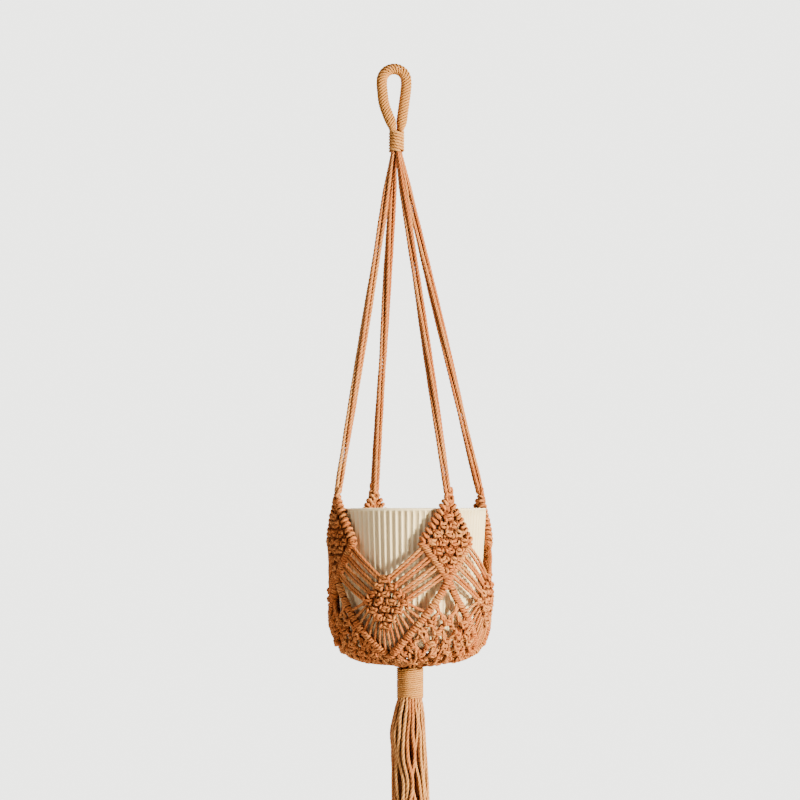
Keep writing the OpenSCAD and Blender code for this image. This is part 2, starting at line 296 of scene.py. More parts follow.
def smooth_line(points: np.ndarray, step: float) -> np.ndarray:
    """Runs an evenly stepped smooth line through a few points.

    Args:
        points: The points that it passes through.
        step: Distance between the points of the result.

    Returns:
        The line's points, both ends among them.
    """
    points = np.asarray(points, float)
    if len(points) == 2:
        count = max(3, round(float(np.linalg.norm(points[1] - points[0])) / step) + 1)
        return points[0] + (points[1] - points[0]) * np.linspace(0, 1, count)[:, None]
    knots = walked_along(points)
    slope = np.gradient(points, knots, axis=0)
    fine = np.linspace(0, knots[-1], max(8, int(knots[-1] / step * 2.5)))
    i = np.clip(np.searchsorted(knots, fine, side="right") - 1, 0, len(knots) - 2)
    h = (knots[i + 1] - knots[i])[:, None]
    t = (fine - knots[i])[:, None] / h
    return evenly(through(t, (points[i], points[i + 1]), (slope[i] * h, slope[i + 1] * h)), step)


def evenly(line: np.ndarray, step: float) -> np.ndarray:
    """Steps a dense line at even distances."""
    walked = walked_along(line)
    marks = np.linspace(0, walked[-1], max(4, round(walked[-1] / step) + 1))
    return np.stack([np.interp(marks, walked, line[:, k]) for k in range(line.shape[1])], axis=1)


def unit(v: np.ndarray) -> np.ndarray:
    """Vectors' directions."""
    v = np.asarray(v, float)
    return v / np.linalg.norm(v, axis=-1, keepdims=True)


def way_of(angle: float) -> np.ndarray:
    """The level direction at an angle from the front, in radians."""
    return np.array([math.sin(angle), -math.cos(angle), 0.0])


def upright(x: float, foot: float, top: float) -> np.ndarray:
    """Points every half millimetre up a vertical line, for a binding to be wound round."""
    heights = np.arange(foot, top + 0.01, 0.5)
    return np.stack([np.full(len(heights), x), 0 * heights, heights], 1)


# ---------------------------------------------------------------------------------------------
# Finishes
# ---------------------------------------------------------------------------------------------


def linear(hex_colour: str) -> tuple[float, float, float, float]:
    """Turns an sRGB hex colour to linear RGBA."""
    channels = [int(hex_colour.lstrip("#")[i : i + 2], 16) / 255 for i in (0, 2, 4)]
    red, green, blue = (c / 12.92 if c <= 0.04045 else ((c + 0.055) / 1.055) ** 2.4 for c in channels)
    return red, green, blue, 1.0


def add_node(
    tree: bpy.types.NodeTree, kind: str, inputs: dict | None = None, out: int | str = 0, **settings
) -> bpy.types.NodeSocket | None:
    """Adds one shader node with its settings, input values and links.

    Args:
        tree: The node tree to add it to.
        kind: The node's type, without the word that all shader nodes start with.
        inputs: Values or output sockets by input name or number.
        out: Which of its outputs to give back.
        **settings: The node's own properties.

    Returns:
        The output socket, or nothing for a node that has none.
    """
    node = tree.nodes.new(f"ShaderNode{kind}")
    for name, value in settings.items():
        setattr(node, name, value)
    for key, value in (inputs or {}).items():
        if isinstance(value, bpy.types.NodeSocket):
            tree.links.new(value, node.inputs[key])
        else:
            node.inputs[key].default_value = value
    return node.outputs[out] if node.outputs else None


def new_material(name: str) -> tuple[bpy.types.Material, Callable[..., bpy.types.NodeSocket | None]]:
    """A new material with no nodes, and the node-adding function bound to its tree."""
    material = bpy.data.materials.new(name)
    material.use_nodes = True
    material.node_tree.nodes.clear()
    return material, partial(add_node, material.node_tree)


MIX_A, MIX_B, MIX_OUT = 6, 7, 2  # the colour sockets of a Mix node
COLOUR = {"out": MIX_OUT, "data_type": "RGBA"}  # what makes a Mix node mix colours


@dataclass(frozen=True)
class CottonCord:
    """Plied cotton cord: carded cotton spun to yarn, twisted in three plies and dyed.

    The twist shows as slanting plies whose grooves are darkened with painted shade, the yarn as fine
    lines along the cord, and the loose fibre gives a matt face with a pale bloom at its edges. Where
    cords lie packed in the knots, painted shade darkens the colour, so the proud faces look lighter.
    """

    name: str
    # painted shade colour, laid into the ply grooves and where cords are packed in the knots
    groove: str
    shade: str
    body: str
    pale: str
    yarn_mm: float = 0.55
    yarn_draw: float = 0.09
    patch_mm: float = 26.0
    fuzz_mm: float = 0.35
    # how strongly the ply grooves are darkened with painted shade
    groove_share: float = 0.6
    pale_share: float = 0.4
    # how strongly cords packed in the knots are darkened with painted shade
    fold_share: float = 0.8
    sheen: float = 0.2
    bump_mm: float = 0.16
    groove_height: float = -1.1

    def make(self) -> bpy.types.Material:
        """Builds the material."""
        material, add = new_material(self.name)
        lobes = add("SeparateXYZ", {0: add("UVMap", uv_map="ply")})
        turn = add("Math", {0: lobes, 1: math.pi}, operation="MULTIPLY")
        wave = add("Math", {0: turn}, operation="COSINE")
        valley = add("Math", {0: add("Math", {0: wave}, operation="ABSOLUTE"), 1: 3.0}, operation="POWER")
        # yarn lines lie along the cord: the fibre map is in millimetres, drawn out lengthwise
        fine = (1 / self.yarn_mm, self.yarn_draw / self.yarn_mm, 1.0)
        drawn = add("Mapping", {"Vector": add("UVMap", uv_map="fibre"), "Scale": fine})
        yarn = add("TexNoise", {"Vector": drawn, "Scale": 1.0, "Detail": 2.0})
        space = add("TexCoord", out="Object")
        patch = add("TexNoise", {"Vector": space, "Scale": 1 / (self.patch_mm * MM), "Detail": 3.0})
        fuzz = add("TexNoise", {"Vector": space, "Scale": 1 / (self.fuzz_mm * MM), "Detail": 2.0})
        faded = add("MapRange", {0: patch, "From Min": 0.35, "From Max": 0.68, "To Max": self.pale_share})
        tone = add("Attribute", out="Fac", attribute_name="tone")
        toned = add("Math", {0: faded, 1: tone}, operation="ADD")
        colour = add("Mix", {0: toned, MIX_A: linear(self.body), MIX_B: linear(self.pale)}, **COLOUR)
        sunk_yarn = add("MapRange", {0: yarn, "From Min": 0.62, "From Max": 0.36, "To Max": 0.62})
        # painted shade in the grooves between the plies, strongest at the bottom of each valley
        painted_groove_shade = add("Math", {0: valley, 1: self.groove_share}, operation="MULTIPLY")
        # painted shade where a cord lies packed among others in the knots, from the occlusion measure
        # written after all cords are built
        fold = add("Attribute", out="Fac", attribute_name="fold")
        occlusion_shade = add("MapRange", {0: fold, "From Min": 0.16, "From Max": 0.52, "To Max": self.fold_share})
        # yarn lines take the darker yarn colour; the ply grooves and the packed knots take the painted shade
        # colour
        for share, darker_colour in ((sunk_yarn, self.shade), (painted_groove_shade, self.groove), (occlusion_shade, self.groove)):
            colour = add("Mix", {0: share, MIX_A: colour, MIX_B: linear(darker_colour)}, **COLOUR)
        height = add("Math", {0: yarn, 1: fuzz}, operation="ADD")
        sunk = add("Math", {0: valley, 1: self.groove_height, 2: height}, operation="MULTIPLY_ADD")
        values = {
            "Base Color": colour,
            "Roughness": add("MapRange", {0: fuzz, "To Min": 0.78, "To Max": 0.98}),
            "Normal": add("Bump", {"Height": sunk, "Strength": 0.8, "Distance": self.bump_mm * MM}),
            "IOR": 1.46,
            "Specular IOR Level": 0.25,
            "Sheen Weight": self.sheen,
            "Sheen Roughness": 0.45,
            "Sheen Tint": linear(self.pale),
        }
        add("OutputMaterial", {"Surface": add("BsdfPrincipled", values)})
        return material


@dataclass(frozen=True)
class GlazedStoneware:
    """Stoneware thrown and fluted by hand under a satin cream glaze.

    The hollows of the flutes carry painted shade, darker and warmer than the glaze, the edges of the
    flutes keep the plain glaze, and the glaze carries small iron specks and a faint orange-peel face.
    """

    name: str = "satin_cream_stoneware_glaze"
    glaze: str = "#efe4c8"
    pooled: str = "#f7eed6"
    # painted shade colour for the hollows of the flutes
    warm: str = "#bfa478"
    speck: str = "#8d6d4b"
    warm_share: float = 0.5
    speck_mm: float = 2.2
    speck_rarity: float = 0.9
    speck_share: float = 0.55
    cloud_mm: float = 40.0
    peel_mm: float = 1.6
    peel_depth_mm: float = 0.1

    def make(self) -> bpy.types.Material:
        """Builds the material."""
        material, add = new_material(self.name)
        space = add("TexCoord", out="Object")
        cloud = add("TexNoise", {"Vector": space, "Scale": 1 / (self.cloud_mm * MM), "Detail": 4.0})
        glaze = add("Mix", {0: cloud, MIX_A: linear(self.glaze), MIX_B: linear(self.pooled)}, **COLOUR)
        # painted shade in the hollows of the flutes, darkest in the middle of each hollow
        hollow = add("Attribute", out="Fac", attribute_name="flute_hollow")
        hollow_shade_mix = add("Math", {0: hollow, 1: self.warm_share}, operation="MULTIPLY")
        pooled = add("Mix", {0: hollow_shade_mix, MIX_A: glaze, MIX_B: linear(self.warm)}, **COLOUR)
        cells = add("TexVoronoi", {"Vector": space, "Scale": 1 / (self.speck_mm * MM)})
        dots = add("MapRange", {0: cells, "From Min": 0.1, "From Max": 0.04})
        chance = add("SeparateXYZ", {0: cells.node.outputs["Color"]})
        chosen = add("Math", {0: chance, 1: self.speck_rarity}, operation="GREATER_THAN")
        specks = add("Math", {0: dots, 1: chosen}, operation="MULTIPLY")
        speck_fac = add("Math", {0: specks, 1: self.speck_share}, operation="MULTIPLY")
        peel = add("TexNoise", {"Vector": space, "Scale": 1 / (self.peel_mm * MM), "Detail": 2.0})
        values = {
            "Base Color": add("Mix", {0: speck_fac, MIX_A: pooled, MIX_B: linear(self.speck)}, **COLOUR),
            "Roughness": add("MapRange", {0: cloud, "To Min": 0.34, "To Max": 0.5}),
            "Normal": add("Bump", {"Height": peel, "Strength": 0.25, "Distance": self.peel_depth_mm * MM}),
            "IOR": 1.5,
            "Coat Weight": 0.15,
            "Coat Roughness": 0.3,
        }
        add("OutputMaterial", {"Surface": add("BsdfPrincipled", values)})
        return material


@dataclass(frozen=True)
class Finishes:
    """Every finish of the planter, built once."""

    working: bpy.types.Material
    binding: bpy.types.Material
    glaze: bpy.types.Material

    @classmethod
    def build(cls) -> Finishes:
        """Makes the terracotta cord, the golden binding cord and the glaze."""
        return cls(
            working=CottonCord(
                name="terracotta_dyed_cotton_cord",
                # the first colour is painted shade for the ply grooves and the packed knots
                groove="#581e0a",
                shade="#a35024",
                body="#d28047",
                pale="#f5be7d",
            ).make(),
            binding=CottonCord(
                name="golden_cotton_binding_cord",
                # the first colour is painted shade for the ply grooves and the packed knots
                groove="#8a4c1e",
                shade="#bf7f42",
                body="#dba15c",
                pale="#f1c88b",
                # the two shares below set how strong the painted shade is in the ply grooves and in the
                # packed knots
                groove_share=0.4,
                fold_share=0.6,
            ).make(),
            glaze=GlazedStoneware().make(),
        )


# ---------------------------------------------------------------------------------------------
# Cord meshes
# ---------------------------------------------------------------------------------------------


@dataclass
class Strand:
    """One cord to be swept along its line."""

    line: np.ndarray
    radius: float | np.ndarray
    tone: float


@dataclass
class CordWork:
    """A mesh of plied cords, each a closed tube with three twisted lobes."""

    seed: int
    sides: int = 9
    plies: int = 3
    groove_depth: float = 0.13
    groove_power: float = 1.6
    lay_share: float = 3.8
    waver: float = 0.035
    waver_turns: float = 2.3
    tip_share: float = 0.8
    tip_out: float = 0.3
    tone_spread: float = 0.16
    tone_middle: float = 0.0
    strands: list[Strand] = field(default_factory=list)

    def __post_init__(self) -> None:
        """Starts this mesh's own run of random numbers."""
        self.random = np.random.default_rng(self.seed)

    def add(self, line: np.ndarray, radius: float | np.ndarray) -> None:
        """Adds one cord along an evenly stepped line, in millimetres."""
        tone = float(self.random.normal(self.tone_middle, self.tone_spread))
        self.strands.append(Strand(line, radius, tone))

    def run(self, points: np.ndarray, radius: float, step: float) -> None:
        """Adds one cord on a smooth line through a few points."""
        self.add(smooth_line(points, step), radius)

    def _frames(self) -> tuple[list[np.ndarray], list[np.ndarray]]:
        """Directions and untwisted sideways references along every strand."""
        longest = max(len(s.line) for s in self.strands)
        along = np.zeros((len(self.strands), longest, 3))
        for i, strand in enumerate(self.strands):
            direction = np.gradient(strand.line, axis=0)
            direction /= np.maximum(np.linalg.norm(direction, axis=1, keepdims=True), 1e-9)
            along[i, : len(direction)] = direction
            along[i, len(direction) :] = direction[-1]
        first = along[:, 0]
        helper = np.where(np.abs(first[:, 2:3]) < 0.8, [[0.0, 0.0, 1.0]], [[0.0, 1.0, 0.0]])
        side = np.cross(first, helper)
        side /= np.linalg.norm(side, axis=1, keepdims=True)
        sides = np.zeros_like(along)
        sides[:, 0] = side
        for k in range(1, longest):
            tangent = along[:, k]
            side = side - (side * tangent).sum(1, keepdims=True) * tangent
            side /= np.maximum(np.linalg.norm(side, axis=1, keepdims=True), 1e-9)
            sides[:, k] = side
        return (
            [along[i, : len(s.line)] for i, s in enumerate(self.strands)],
            [sides[i, : len(s.line)] for i, s in enumerate(self.strands)],
        )

    def build(self, name: str, finish: bpy.types.Material) -> bpy.types.Object:
        """Makes the mesh object.

        Args:
            name: The object's name.
            finish: Its material.

        Returns:
            The new object, in metres.
        """
        alongs, references = self._frames()
        count = self.sides
        corners = np.arange(count)
        following = (corners + 1) % count
        step = corners / count
        lobe = 1 - self.groove_depth * np.abs(np.cos(np.pi * step * self.plies)) ** self.groove_power
        points, quads, tips, ply, fibre, tones = [], [], [], [], [], []
        base = 0
        for strand, along, side in zip(self.strands, alongs, references, strict=True):
            line, rings = strand.line, len(strand.line)
            radius = np.broadcast_to(np.asarray(strand.radius, float), (rings,)).copy()
            walked = walked_along(line)
            lay = self.lay_share * 2 * float(radius.mean())
            start = self.random.uniform(0, 1)
            radius *= 1 + self.waver * np.sin(walked / lay * self.waver_turns + TAU * start)
            mean = float(radius.mean())
            radius[[0, -1]] *= self.tip_share
            up = np.cross(along, side)
            angle = TAU * (step[None, :] + (walked / lay + start)[:, None])
            ring = np.cos(angle)[..., None] * side[:, None] + np.sin(angle)[..., None] * up[:, None]
            body = line[:, None] + ring * (radius[:, None] * lobe[None, :])[..., None]
            ends = line[[0, -1]] + along[[0, -1]] * mean * self.tip_out * [[-1], [1]]
            points += [body.reshape(-1, 3), ends]
            row = base + np.arange(rings - 1)[:, None] * count
            square = (row + corners, row + following, row + count + following, row + count + corners)
            quads.append(np.stack(square, -1).reshape(-1, 4))
            last = base + (rings - 1) * count
            low, high = base + rings * count, base + rings * count + 1
            tips.append(np.stack([np.full(count, low), base + following, base + corners], -1))
            tips.append(np.stack([np.full(count, high), last + corners, last + following], -1))
            u0, v0 = np.meshgrid(corners / count, walked[:-1])
            u1, v1 = np.meshgrid((corners + 1) / count, walked[1:])
            loop_u = np.stack([u0, u1, u1, u0], -1).reshape(-1)
            loop_v = np.stack([v0, v0, v1, v1], -1).reshape(-1)
            tip_u = np.tile(np.stack([step + 0.5 / count, step + 1 / count, step], -1).reshape(-1), 2)
            tip_v = np.repeat([0.0, walked[-1]], 3 * count)
            loop_u, loop_v = np.concatenate([loop_u, tip_u]), np.concatenate([loop_v, tip_v])
            girth = TAU * mean
            ply.append((np.stack([loop_u * self.plies, loop_v / 10], -1), len(tip_u)))
            fibre.append((np.stack([girth * (loop_u + loop_v / lay) + 90 * start, loop_v], -1), len(tip_u)))
            tones.append(np.full(rings * count + 2, strand.tone))
            base += rings * count + 2
        mesh = fill_mesh(name, np.concatenate(points), np.concatenate(quads), np.concatenate(tips))
        for label, parts in (("ply", ply), ("fibre", fibre)):
            put_uv(mesh, label, np.concatenate([uv[:-n] for uv, n in parts] + [uv[-n:] for uv, n in parts]))
        put_values(mesh, "tone", np.concatenate(tones))
        return place_object(name, mesh, finish)


def fill_mesh(name: str, points: np.ndarray, quads: np.ndarray, tips: np.ndarray) -> bpy.types.Mesh:
    """Fills a new smooth mesh from arrays.

    Args:
        name: The mesh's name.
        points: Its vertices, in millimetres.
        quads: Four vertex numbers a face.
        tips: Three vertex numbers a face.

    Returns:
        The mesh, in metres.
    """
    mesh = bpy.data.meshes.new(name)
    mesh.vertices.add(len(points))
    mesh.vertices.foreach_set("co", (points * MM).astype(np.float32).ravel())
    mesh.loops.add(quads.size + tips.size)
    mesh.loops.foreach_set("vertex_index", np.concatenate([quads.ravel(), tips.ravel()]).astype(np.int32))
    starts = np.concatenate([np.arange(len(quads)) * 4, quads.size + np.arange(len(tips)) * 3])
    mesh.polygons.add(len(starts))
    mesh.polygons.foreach_set("loop_start", starts.astype(np.int32))
    mesh.polygons.foreach_set("use_smooth", np.ones(len(starts), bool))
    mesh.update(calc_edges=True)
    return mesh


def put_uv(mesh: bpy.types.Mesh, label: str, values: np.ndarray) -> None:
    """Adds a UV map from one pair of numbers a face corner."""
    layer = mesh.uv_layers.new(name=label)
    layer.uv.foreach_set("vector", values.astype(np.float32).ravel())


def put_values(mesh: bpy.types.Mesh, label: str, values: np.ndarray) -> None:
    """Adds a number a vertex, for a material to read."""
    mesh.attributes.new(label, "FLOAT", "POINT").data.foreach_set("value", values.astype(np.float32))


def place_object(name: str, mesh: bpy.types.Mesh, finish: bpy.types.Material) -> bpy.types.Object:
    """Puts a mesh into the scene with its material."""
    mesh.materials.append(finish)
    piece = bpy.data.objects.new(name, mesh)
    bpy.context.scene.collection.objects.link(piece)
    return piece


@dataclass(frozen=True)
class FoldDepth:
    """Painted occlusion: how much cord lies just outside each point, for the finish to paint as shade."""

    cell: float = 1.5
    reaches: tuple[float, ...] = (1.8, 3.4, 5.2)
    margin: float = 10.0

    def put(self, pieces: list[bpy.types.Object]) -> None:
        """Writes each piece's painted occlusion: the share of cord met on the way out from its face.

        Args:
            pieces: The mesh objects of cord, all still at rest.
        """
        places = [self._read(piece.data.vertices, "co") / MM for piece in pieces]
        normals = [self._read(piece.data.vertex_normals, "vector") for piece in pieces]
        everything = np.concatenate(places)
        low = everything.min(0) - self.margin
        shape = ((everything.max(0) + self.margin - low) / self.cell).astype(int) + 1
        grid = np.zeros(shape, np.float32)
        grid[tuple(((everything - low) / self.cell).astype(int).T)] = 1.0
        for axis in range(3):
            grid = (grid + np.roll(grid, 1, axis) + np.roll(grid, -1, axis)) / 3
        for piece, place, normal in zip(pieces, places, normals, strict=True):
            # painted occlusion: the more cord just outside a point, the darker its finish paints it
            depth = np.zeros(len(place), np.float32)
            for reach in self.reaches:
                depth += grid[tuple(((place + normal * reach - low) / self.cell).astype(int).T)]
            put_values(piece.data, "fold", depth / len(self.reaches))

    @staticmethod
    def _read(holder: bpy.types.bpy_prop_collection, label: str) -> np.ndarray:
        """One vector a vertex."""
        values = np.empty(len(holder) * 3, np.float32)
        holder.foreach_get(label, values)
        return values.reshape(-1, 3)


def winding(
    path: np.ndarray, radius: float | np.ndarray, pitch: float, step: float, hand: Hand, start: float = 0.0
) -> np.ndarray:
    """A coil round a path.

    Args:
        path: Evenly stepped points of the path.
        radius: Distance of the coil's middle from the path, one for all or one for each point.
        pitch: Climb of one turn.
        step: Distance between the points of the result.
        hand: Which way it climbs.
        start: Turns that it is ahead at the path's first point.

    Returns:
        The coil's points.
    """
    along = unit(np.gradient(path, axis=0))
    side = unit(np.cross(along, [0.0, 1.0, 0.0]))
    up = np.cross(along, side)
    walked = walked_along(path)
    count = max(12, int(walked[-1] / pitch * TAU * np.max(radius) / step))
    marks = np.linspace(0, walked[-1], count)
    radius = np.interp(marks, walked, np.broadcast_to(radius, len(path)))[:, None]
    at = [np.stack([np.interp(marks, walked, v[:, k]) for k in range(3)], 1) for v in (path, side, up)]
    angle = TAU * (marks / pitch * hand.value + start)
    return at[0] + radius * (np.cos(angle)[:, None] * at[1] + np.sin(angle)[:, None] * at[2])


# ---------------------------------------------------------------------------------------------
# Knots
# ---------------------------------------------------------------------------------------------


@dataclass(frozen=True)
class SquareKnot:
    """A square knot of four cords, in [across, down, out] millimetres about its middle.

    Two cords run straight down. The left one of the other two passes over them, round the right
    side and back over them, and the right one does the same behind, each through the other's bend.
    """

    legs_x: float = 2.85
    legs_y: float = 4.15
    cord_r: float = 1.8
    bulk: float = 1.0
    unrest: float = 1.0
    over: tuple[tuple[float, float, float], ...] = (
        (-3.4, -2.7, 0.6), (-2.0, -2.1, 2.1), (0.0, -1.85, 2.8), (2.0, -1.5, 2.2), (3.6, -0.2, 0.2),
        (3.0, 1.0, 1.2), (1.9, 1.6, 2.3), (0.0, 1.95, 2.9), (-2.0, 2.3, 2.1), (-3.4, 2.9, 0.6),
    )  # fmt: skip
    behind: tuple[tuple[float, float, float], ...] = (
        (3.8, -3.1, 1.6), (3.9, -1.8, 3.1), (3.7, -0.5, 2.2), (2.6, 0.2, -0.4), (0.0, -0.6, -1.7),
        (-2.8, -0.8, -0.8), (-4.1, -0.6, 0.8), (-4.0, 0.7, 2.6), (-3.9, 2.1, 3.0), (-3.0, 3.1, 0.6),
        (0.0, 2.3, -1.7), (2.9, 1.9, -0.7), (4.1, 2.4, 0.9), (4.0, 3.4, 0.9),
    )  # fmt: skip
    core: tuple[tuple[float, float, float], ...] = ((-1.2, -2.0, -0.2), (-0.9, 0.0, 0.0), (-1.2, 2.0, -0.2))

    def lines(self, mirror: bool, random: np.random.Generator, step: float) -> list[np.ndarray]:
        """The four cords' lines about the knot's middle.

        Args:
            mirror: True swaps left and right.
            random: Where its small unevenness comes from.
            step: Distance between the points of a line.

        Returns:
            Four lines of [across, down, out] points.
        """
        leg = self.cord_r * 0.96
        outer, inner = self.legs_x + leg, self.legs_x - leg
        top, foot = -self.legs_y, self.legs_y
        flip = np.array([-1.0 if mirror else 1.0, 1.0, 1.0])
        turned = math.radians(random.normal(0, 5 * self.unrest))
        grown = self.bulk * random.normal(1, 0.035 * self.unrest, 3)
        spin = np.array([[math.cos(turned), -math.sin(turned)], [math.sin(turned), math.cos(turned)]])
        shift = np.append(random.normal(0, 0.25, 2), random.normal(0, 0.2)) * self.unrest

        def bent(middle: tuple | np.ndarray, start: tuple, end: tuple) -> np.ndarray:
            """One cord: its knot points uneven, its two ends exact."""
            knot = np.array(middle) * grown + random.normal(0, 0.1 * self.unrest, (len(middle), 3))
            knot[:, :2] = knot[:, :2] @ spin.T
            points = np.vstack([[start], knot + shift, [end]]) * flip
            return smooth_line(points, step)

        core = np.array(self.core)
        return [
            bent(self.over, (-outer, top, 0.0), (-outer, foot, 0.0)),
            bent(self.behind, (outer, top, 0.0), (outer, foot, 0.0)),
            bent(core, (-inner, top, 0.0), (-inner, foot, 0.0)),
            bent(core * [-1, 1, 1], (inner, top, 0.0), (inner, foot, 0.0)),
        ]


@dataclass
class KnotPanel:
    """A diamond of square knots in alternate rows, laid on the skin."""

    skin: Skin
    turn: float
    run: float
    half_w: float
    half_h: float
    seed: int
    unrest: float = 1.9
    relief: float = 1.3
    rows: tuple[int, ...] = (1, 2, 3, 4, 3, 2, 1)
    step: float = 0.62
    cord_r: float = 1.72
    drawn_at: tuple[float, float] = (12.0, 8.9)  # column and row pitch that SquareKnot is drawn for

    def build(self, name: str, finish: bpy.types.Material) -> bpy.types.Object:
        """Makes the panel's mesh."""
        work = CordWork(seed=self.seed)
        row_pitch = 2 * self.half_h / len(self.rows)
        column_pitch = 2 * self.half_w / max(self.rows)
        knot = SquareKnot(column_pitch / 4, row_pitch / 2, self.cord_r, unrest=self.unrest)
        squeeze = np.array([column_pitch / self.drawn_at[0], row_pitch / self.drawn_at[1], self.relief])
        for i, count in enumerate(self.rows):
            down = (i - (len(self.rows) - 1) / 2) * row_pitch
            for j in range(count):
                across = (j - (count - 1) / 2) * column_pitch
                for line in knot.lines(bool((i + j) % 2), work.random, self.step):
                    inner = line * squeeze
                    inner[[0, -1]] = line[[0, -1]]
                    work.add(self.skin.lift(inner + [across, down, 0], self.turn, self.run), knot.cord_r)
        return work.build(name, finish)


@dataclass
class HitchedCord:
    """Double half hitches tied side by side over a holding cord that runs on the skin."""

    skin: Skin
    pitch: float = 5.6
    cord_r: float = 1.62
    coil_r: float = 2.3
    core_r: float = 1.5
    gap: float = 2.35
    turns: float = 2.0
    slant: float = 0.12
    widened: float = 1.14
    lead_in: float = 0.24
    mirror: bool = False
    step: float = 0.6

    def add(self, work: CordWork, route: np.ndarray, out: float = 0.0) -> None:
        """Ties the hitches over a route.

        Args:
            work: The mesh that they are added to.
            route: [turn, run] points of the holding cord.
            out: How far it lies out from the skin's middle.
        """
        layout = self.skin.layout
        flat = np.stack([np.radians(route[:, 0]) * layout.basket_r, route[:, 1]], 1)
        fine = evenly(flat, 0.25)
        rz, _ = self.skin.profile(fine[:, 1])
        squeeze = rz[:, 0] / layout.basket_r
        moved = np.diff(fine, axis=0)
        moved[:, 0] *= squeeze[:-1]
        walked = np.concatenate([[0], np.cumsum(np.linalg.norm(moved, axis=1))])
        along = np.gradient(fine, axis=0)
        along[:, 0] *= squeeze
        along = unit(along)
        total = walked[-1]

        def lay(distance: np.ndarray, cross: np.ndarray, rise: np.ndarray) -> np.ndarray:
            """Places [along, across, out] of the holding cord on the skin."""
            at = [np.interp(distance, walked, v) for v in (fine[:, 0], fine[:, 1], squeeze)]
            way = np.stack([np.interp(distance, walked, along[:, k]) for k in (0, 1)], 1)
            spare = distance - np.clip(distance, 0, total)
            x = at[0] + (way[:, 0] * spare - way[:, 1] * cross) / at[2]
            y = at[1] + way[:, 1] * spare + way[:, 0] * cross
            return self.skin.place(np.degrees(x / layout.basket_r), y, rise + out)

        marks = np.arange(0, total + 0.1, 0.8)
        work.add(lay(marks, np.zeros(len(marks)), np.zeros(len(marks))), self.core_r)
        ties = max(1, round(total / self.pitch))
        pitch = total / ties
        for k in range(ties):
            random = work.random.normal(0, 1, 6)
            turned = np.arange(-self.lead_in, self.turns - self.lead_in, self.step / (TAU * self.coil_r))
            sweep = turned * TAU
            within = sweep / TAU + 0.25 - self.turns / 2
            distance = (k + 0.5) * pitch + within * self.gap - self.slant * self.coil_r * np.cos(sweep)
            bulge = self.coil_r * (1 + 0.05 * random[0] + 0.04 * random[1] * np.sin(sweep))
            cross = bulge * np.cos(sweep) * self.widened * (-1 if self.mirror else 1)
            rise = bulge * np.sin(sweep)
            work.add(lay(distance + 0.25 * random[2], cross, rise), self.cord_r * (1 + 0.04 * random[3]))


# ---------------------------------------------------------------------------------------------
# Sub-assemblies
# ---------------------------------------------------------------------------------------------


@dataclass
class HangingLoop:
    """The eye that hangs on the hook: a bent bundle of cords, bound all along."""

    layout: Layout
    finishes: Finishes
    bend_r: float = 12.25
    bend_z: float = -7.0
    legs: tuple[tuple[float, float], ...] = (
        (0, 0), (0.6, -11), (2.2, -23), (4.8, -34), (7.2, -43), (8.4, -49), (8.6, -53),
    )  # fmt: skip
    cross: float = 2.6
    coil_r: float = 4.4
    foot_coil_r: float = 2.5
    narrows: tuple[float, float] = (47.0, 57.5)
    leans: tuple[float, float] = (30.0, 54.0)
    cord_r: float = 1.3
    ridge_pitch: float = 3.0
    starts: int = 6
    bundle_r: float = 1.5
    bundle_cord_r: float = 1.45
    bundle_foot: float = -50.5

    def path(self) -> np.ndarray:
        """The bundle's middle line, from the left foot over the bend to the right foot."""
        left, right = [], []
        for i, (inward, drop) in enumerate(self.legs):
            y = self.cross * i / (len(self.legs) - 1)
            z = self.bend_z + drop
            aside = self.layout.neck_x * float(eased(np.array(-z), *self.leans))
            left.append([aside - (self.bend_r - inward), -y, z])
            right.append([aside + (self.bend_r - inward), y, z])
        bend = [
            [self.bend_r * math.cos(a), 0.0, self.bend_z + self.bend_r * math.sin(a)]
            for a in np.radians(np.arange(165, 14, -15))
        ]
        return smooth_line(np.array([*reversed(left), *bend, *right]), 0.5)

    def build(self) -> None:
        """Makes the bound bundle and the cord bound round it."""
        cover = CordWork(seed=11, groove_depth=0.12, tone_middle=-1.1)
        path = self.path()
        narrow = eased(-path[:, 2], *self.narrows)
        coil_r = self.coil_r + (self.foot_coil_r - self.coil_r) * narrow
        for k in range(self.starts):
            coil = winding(path, coil_r, self.ridge_pitch * self.starts, 0.75, Hand.RIGHT, k / self.starts)
            cover.add(coil, self.cord_r)
        wrap = cover.build("bound_loop_cover", self.finishes.binding)
        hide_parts("loop_wrap")
        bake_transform(wrap)
        core = CordWork(seed=12)
        inside = path[path[:, 2] > self.bundle_foot]
        for k in range(4):
            core.add(winding(inside, self.bundle_r, 90.0, 1.0, Hand.RIGHT, k / 4), self.bundle_cord_r)
        bundle = core.build("loop_cord_bundle", self.finishes.working)
        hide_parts("loop_cords")
        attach(bundle, "loop")
        report(wrap, bundle)


def report(*pieces: bpy.types.Object) -> None:
    """Logs each piece with its face count."""
    for piece in pieces:
        LOG.info("built %s, %d faces", piece.name, len(piece.data.polygons))


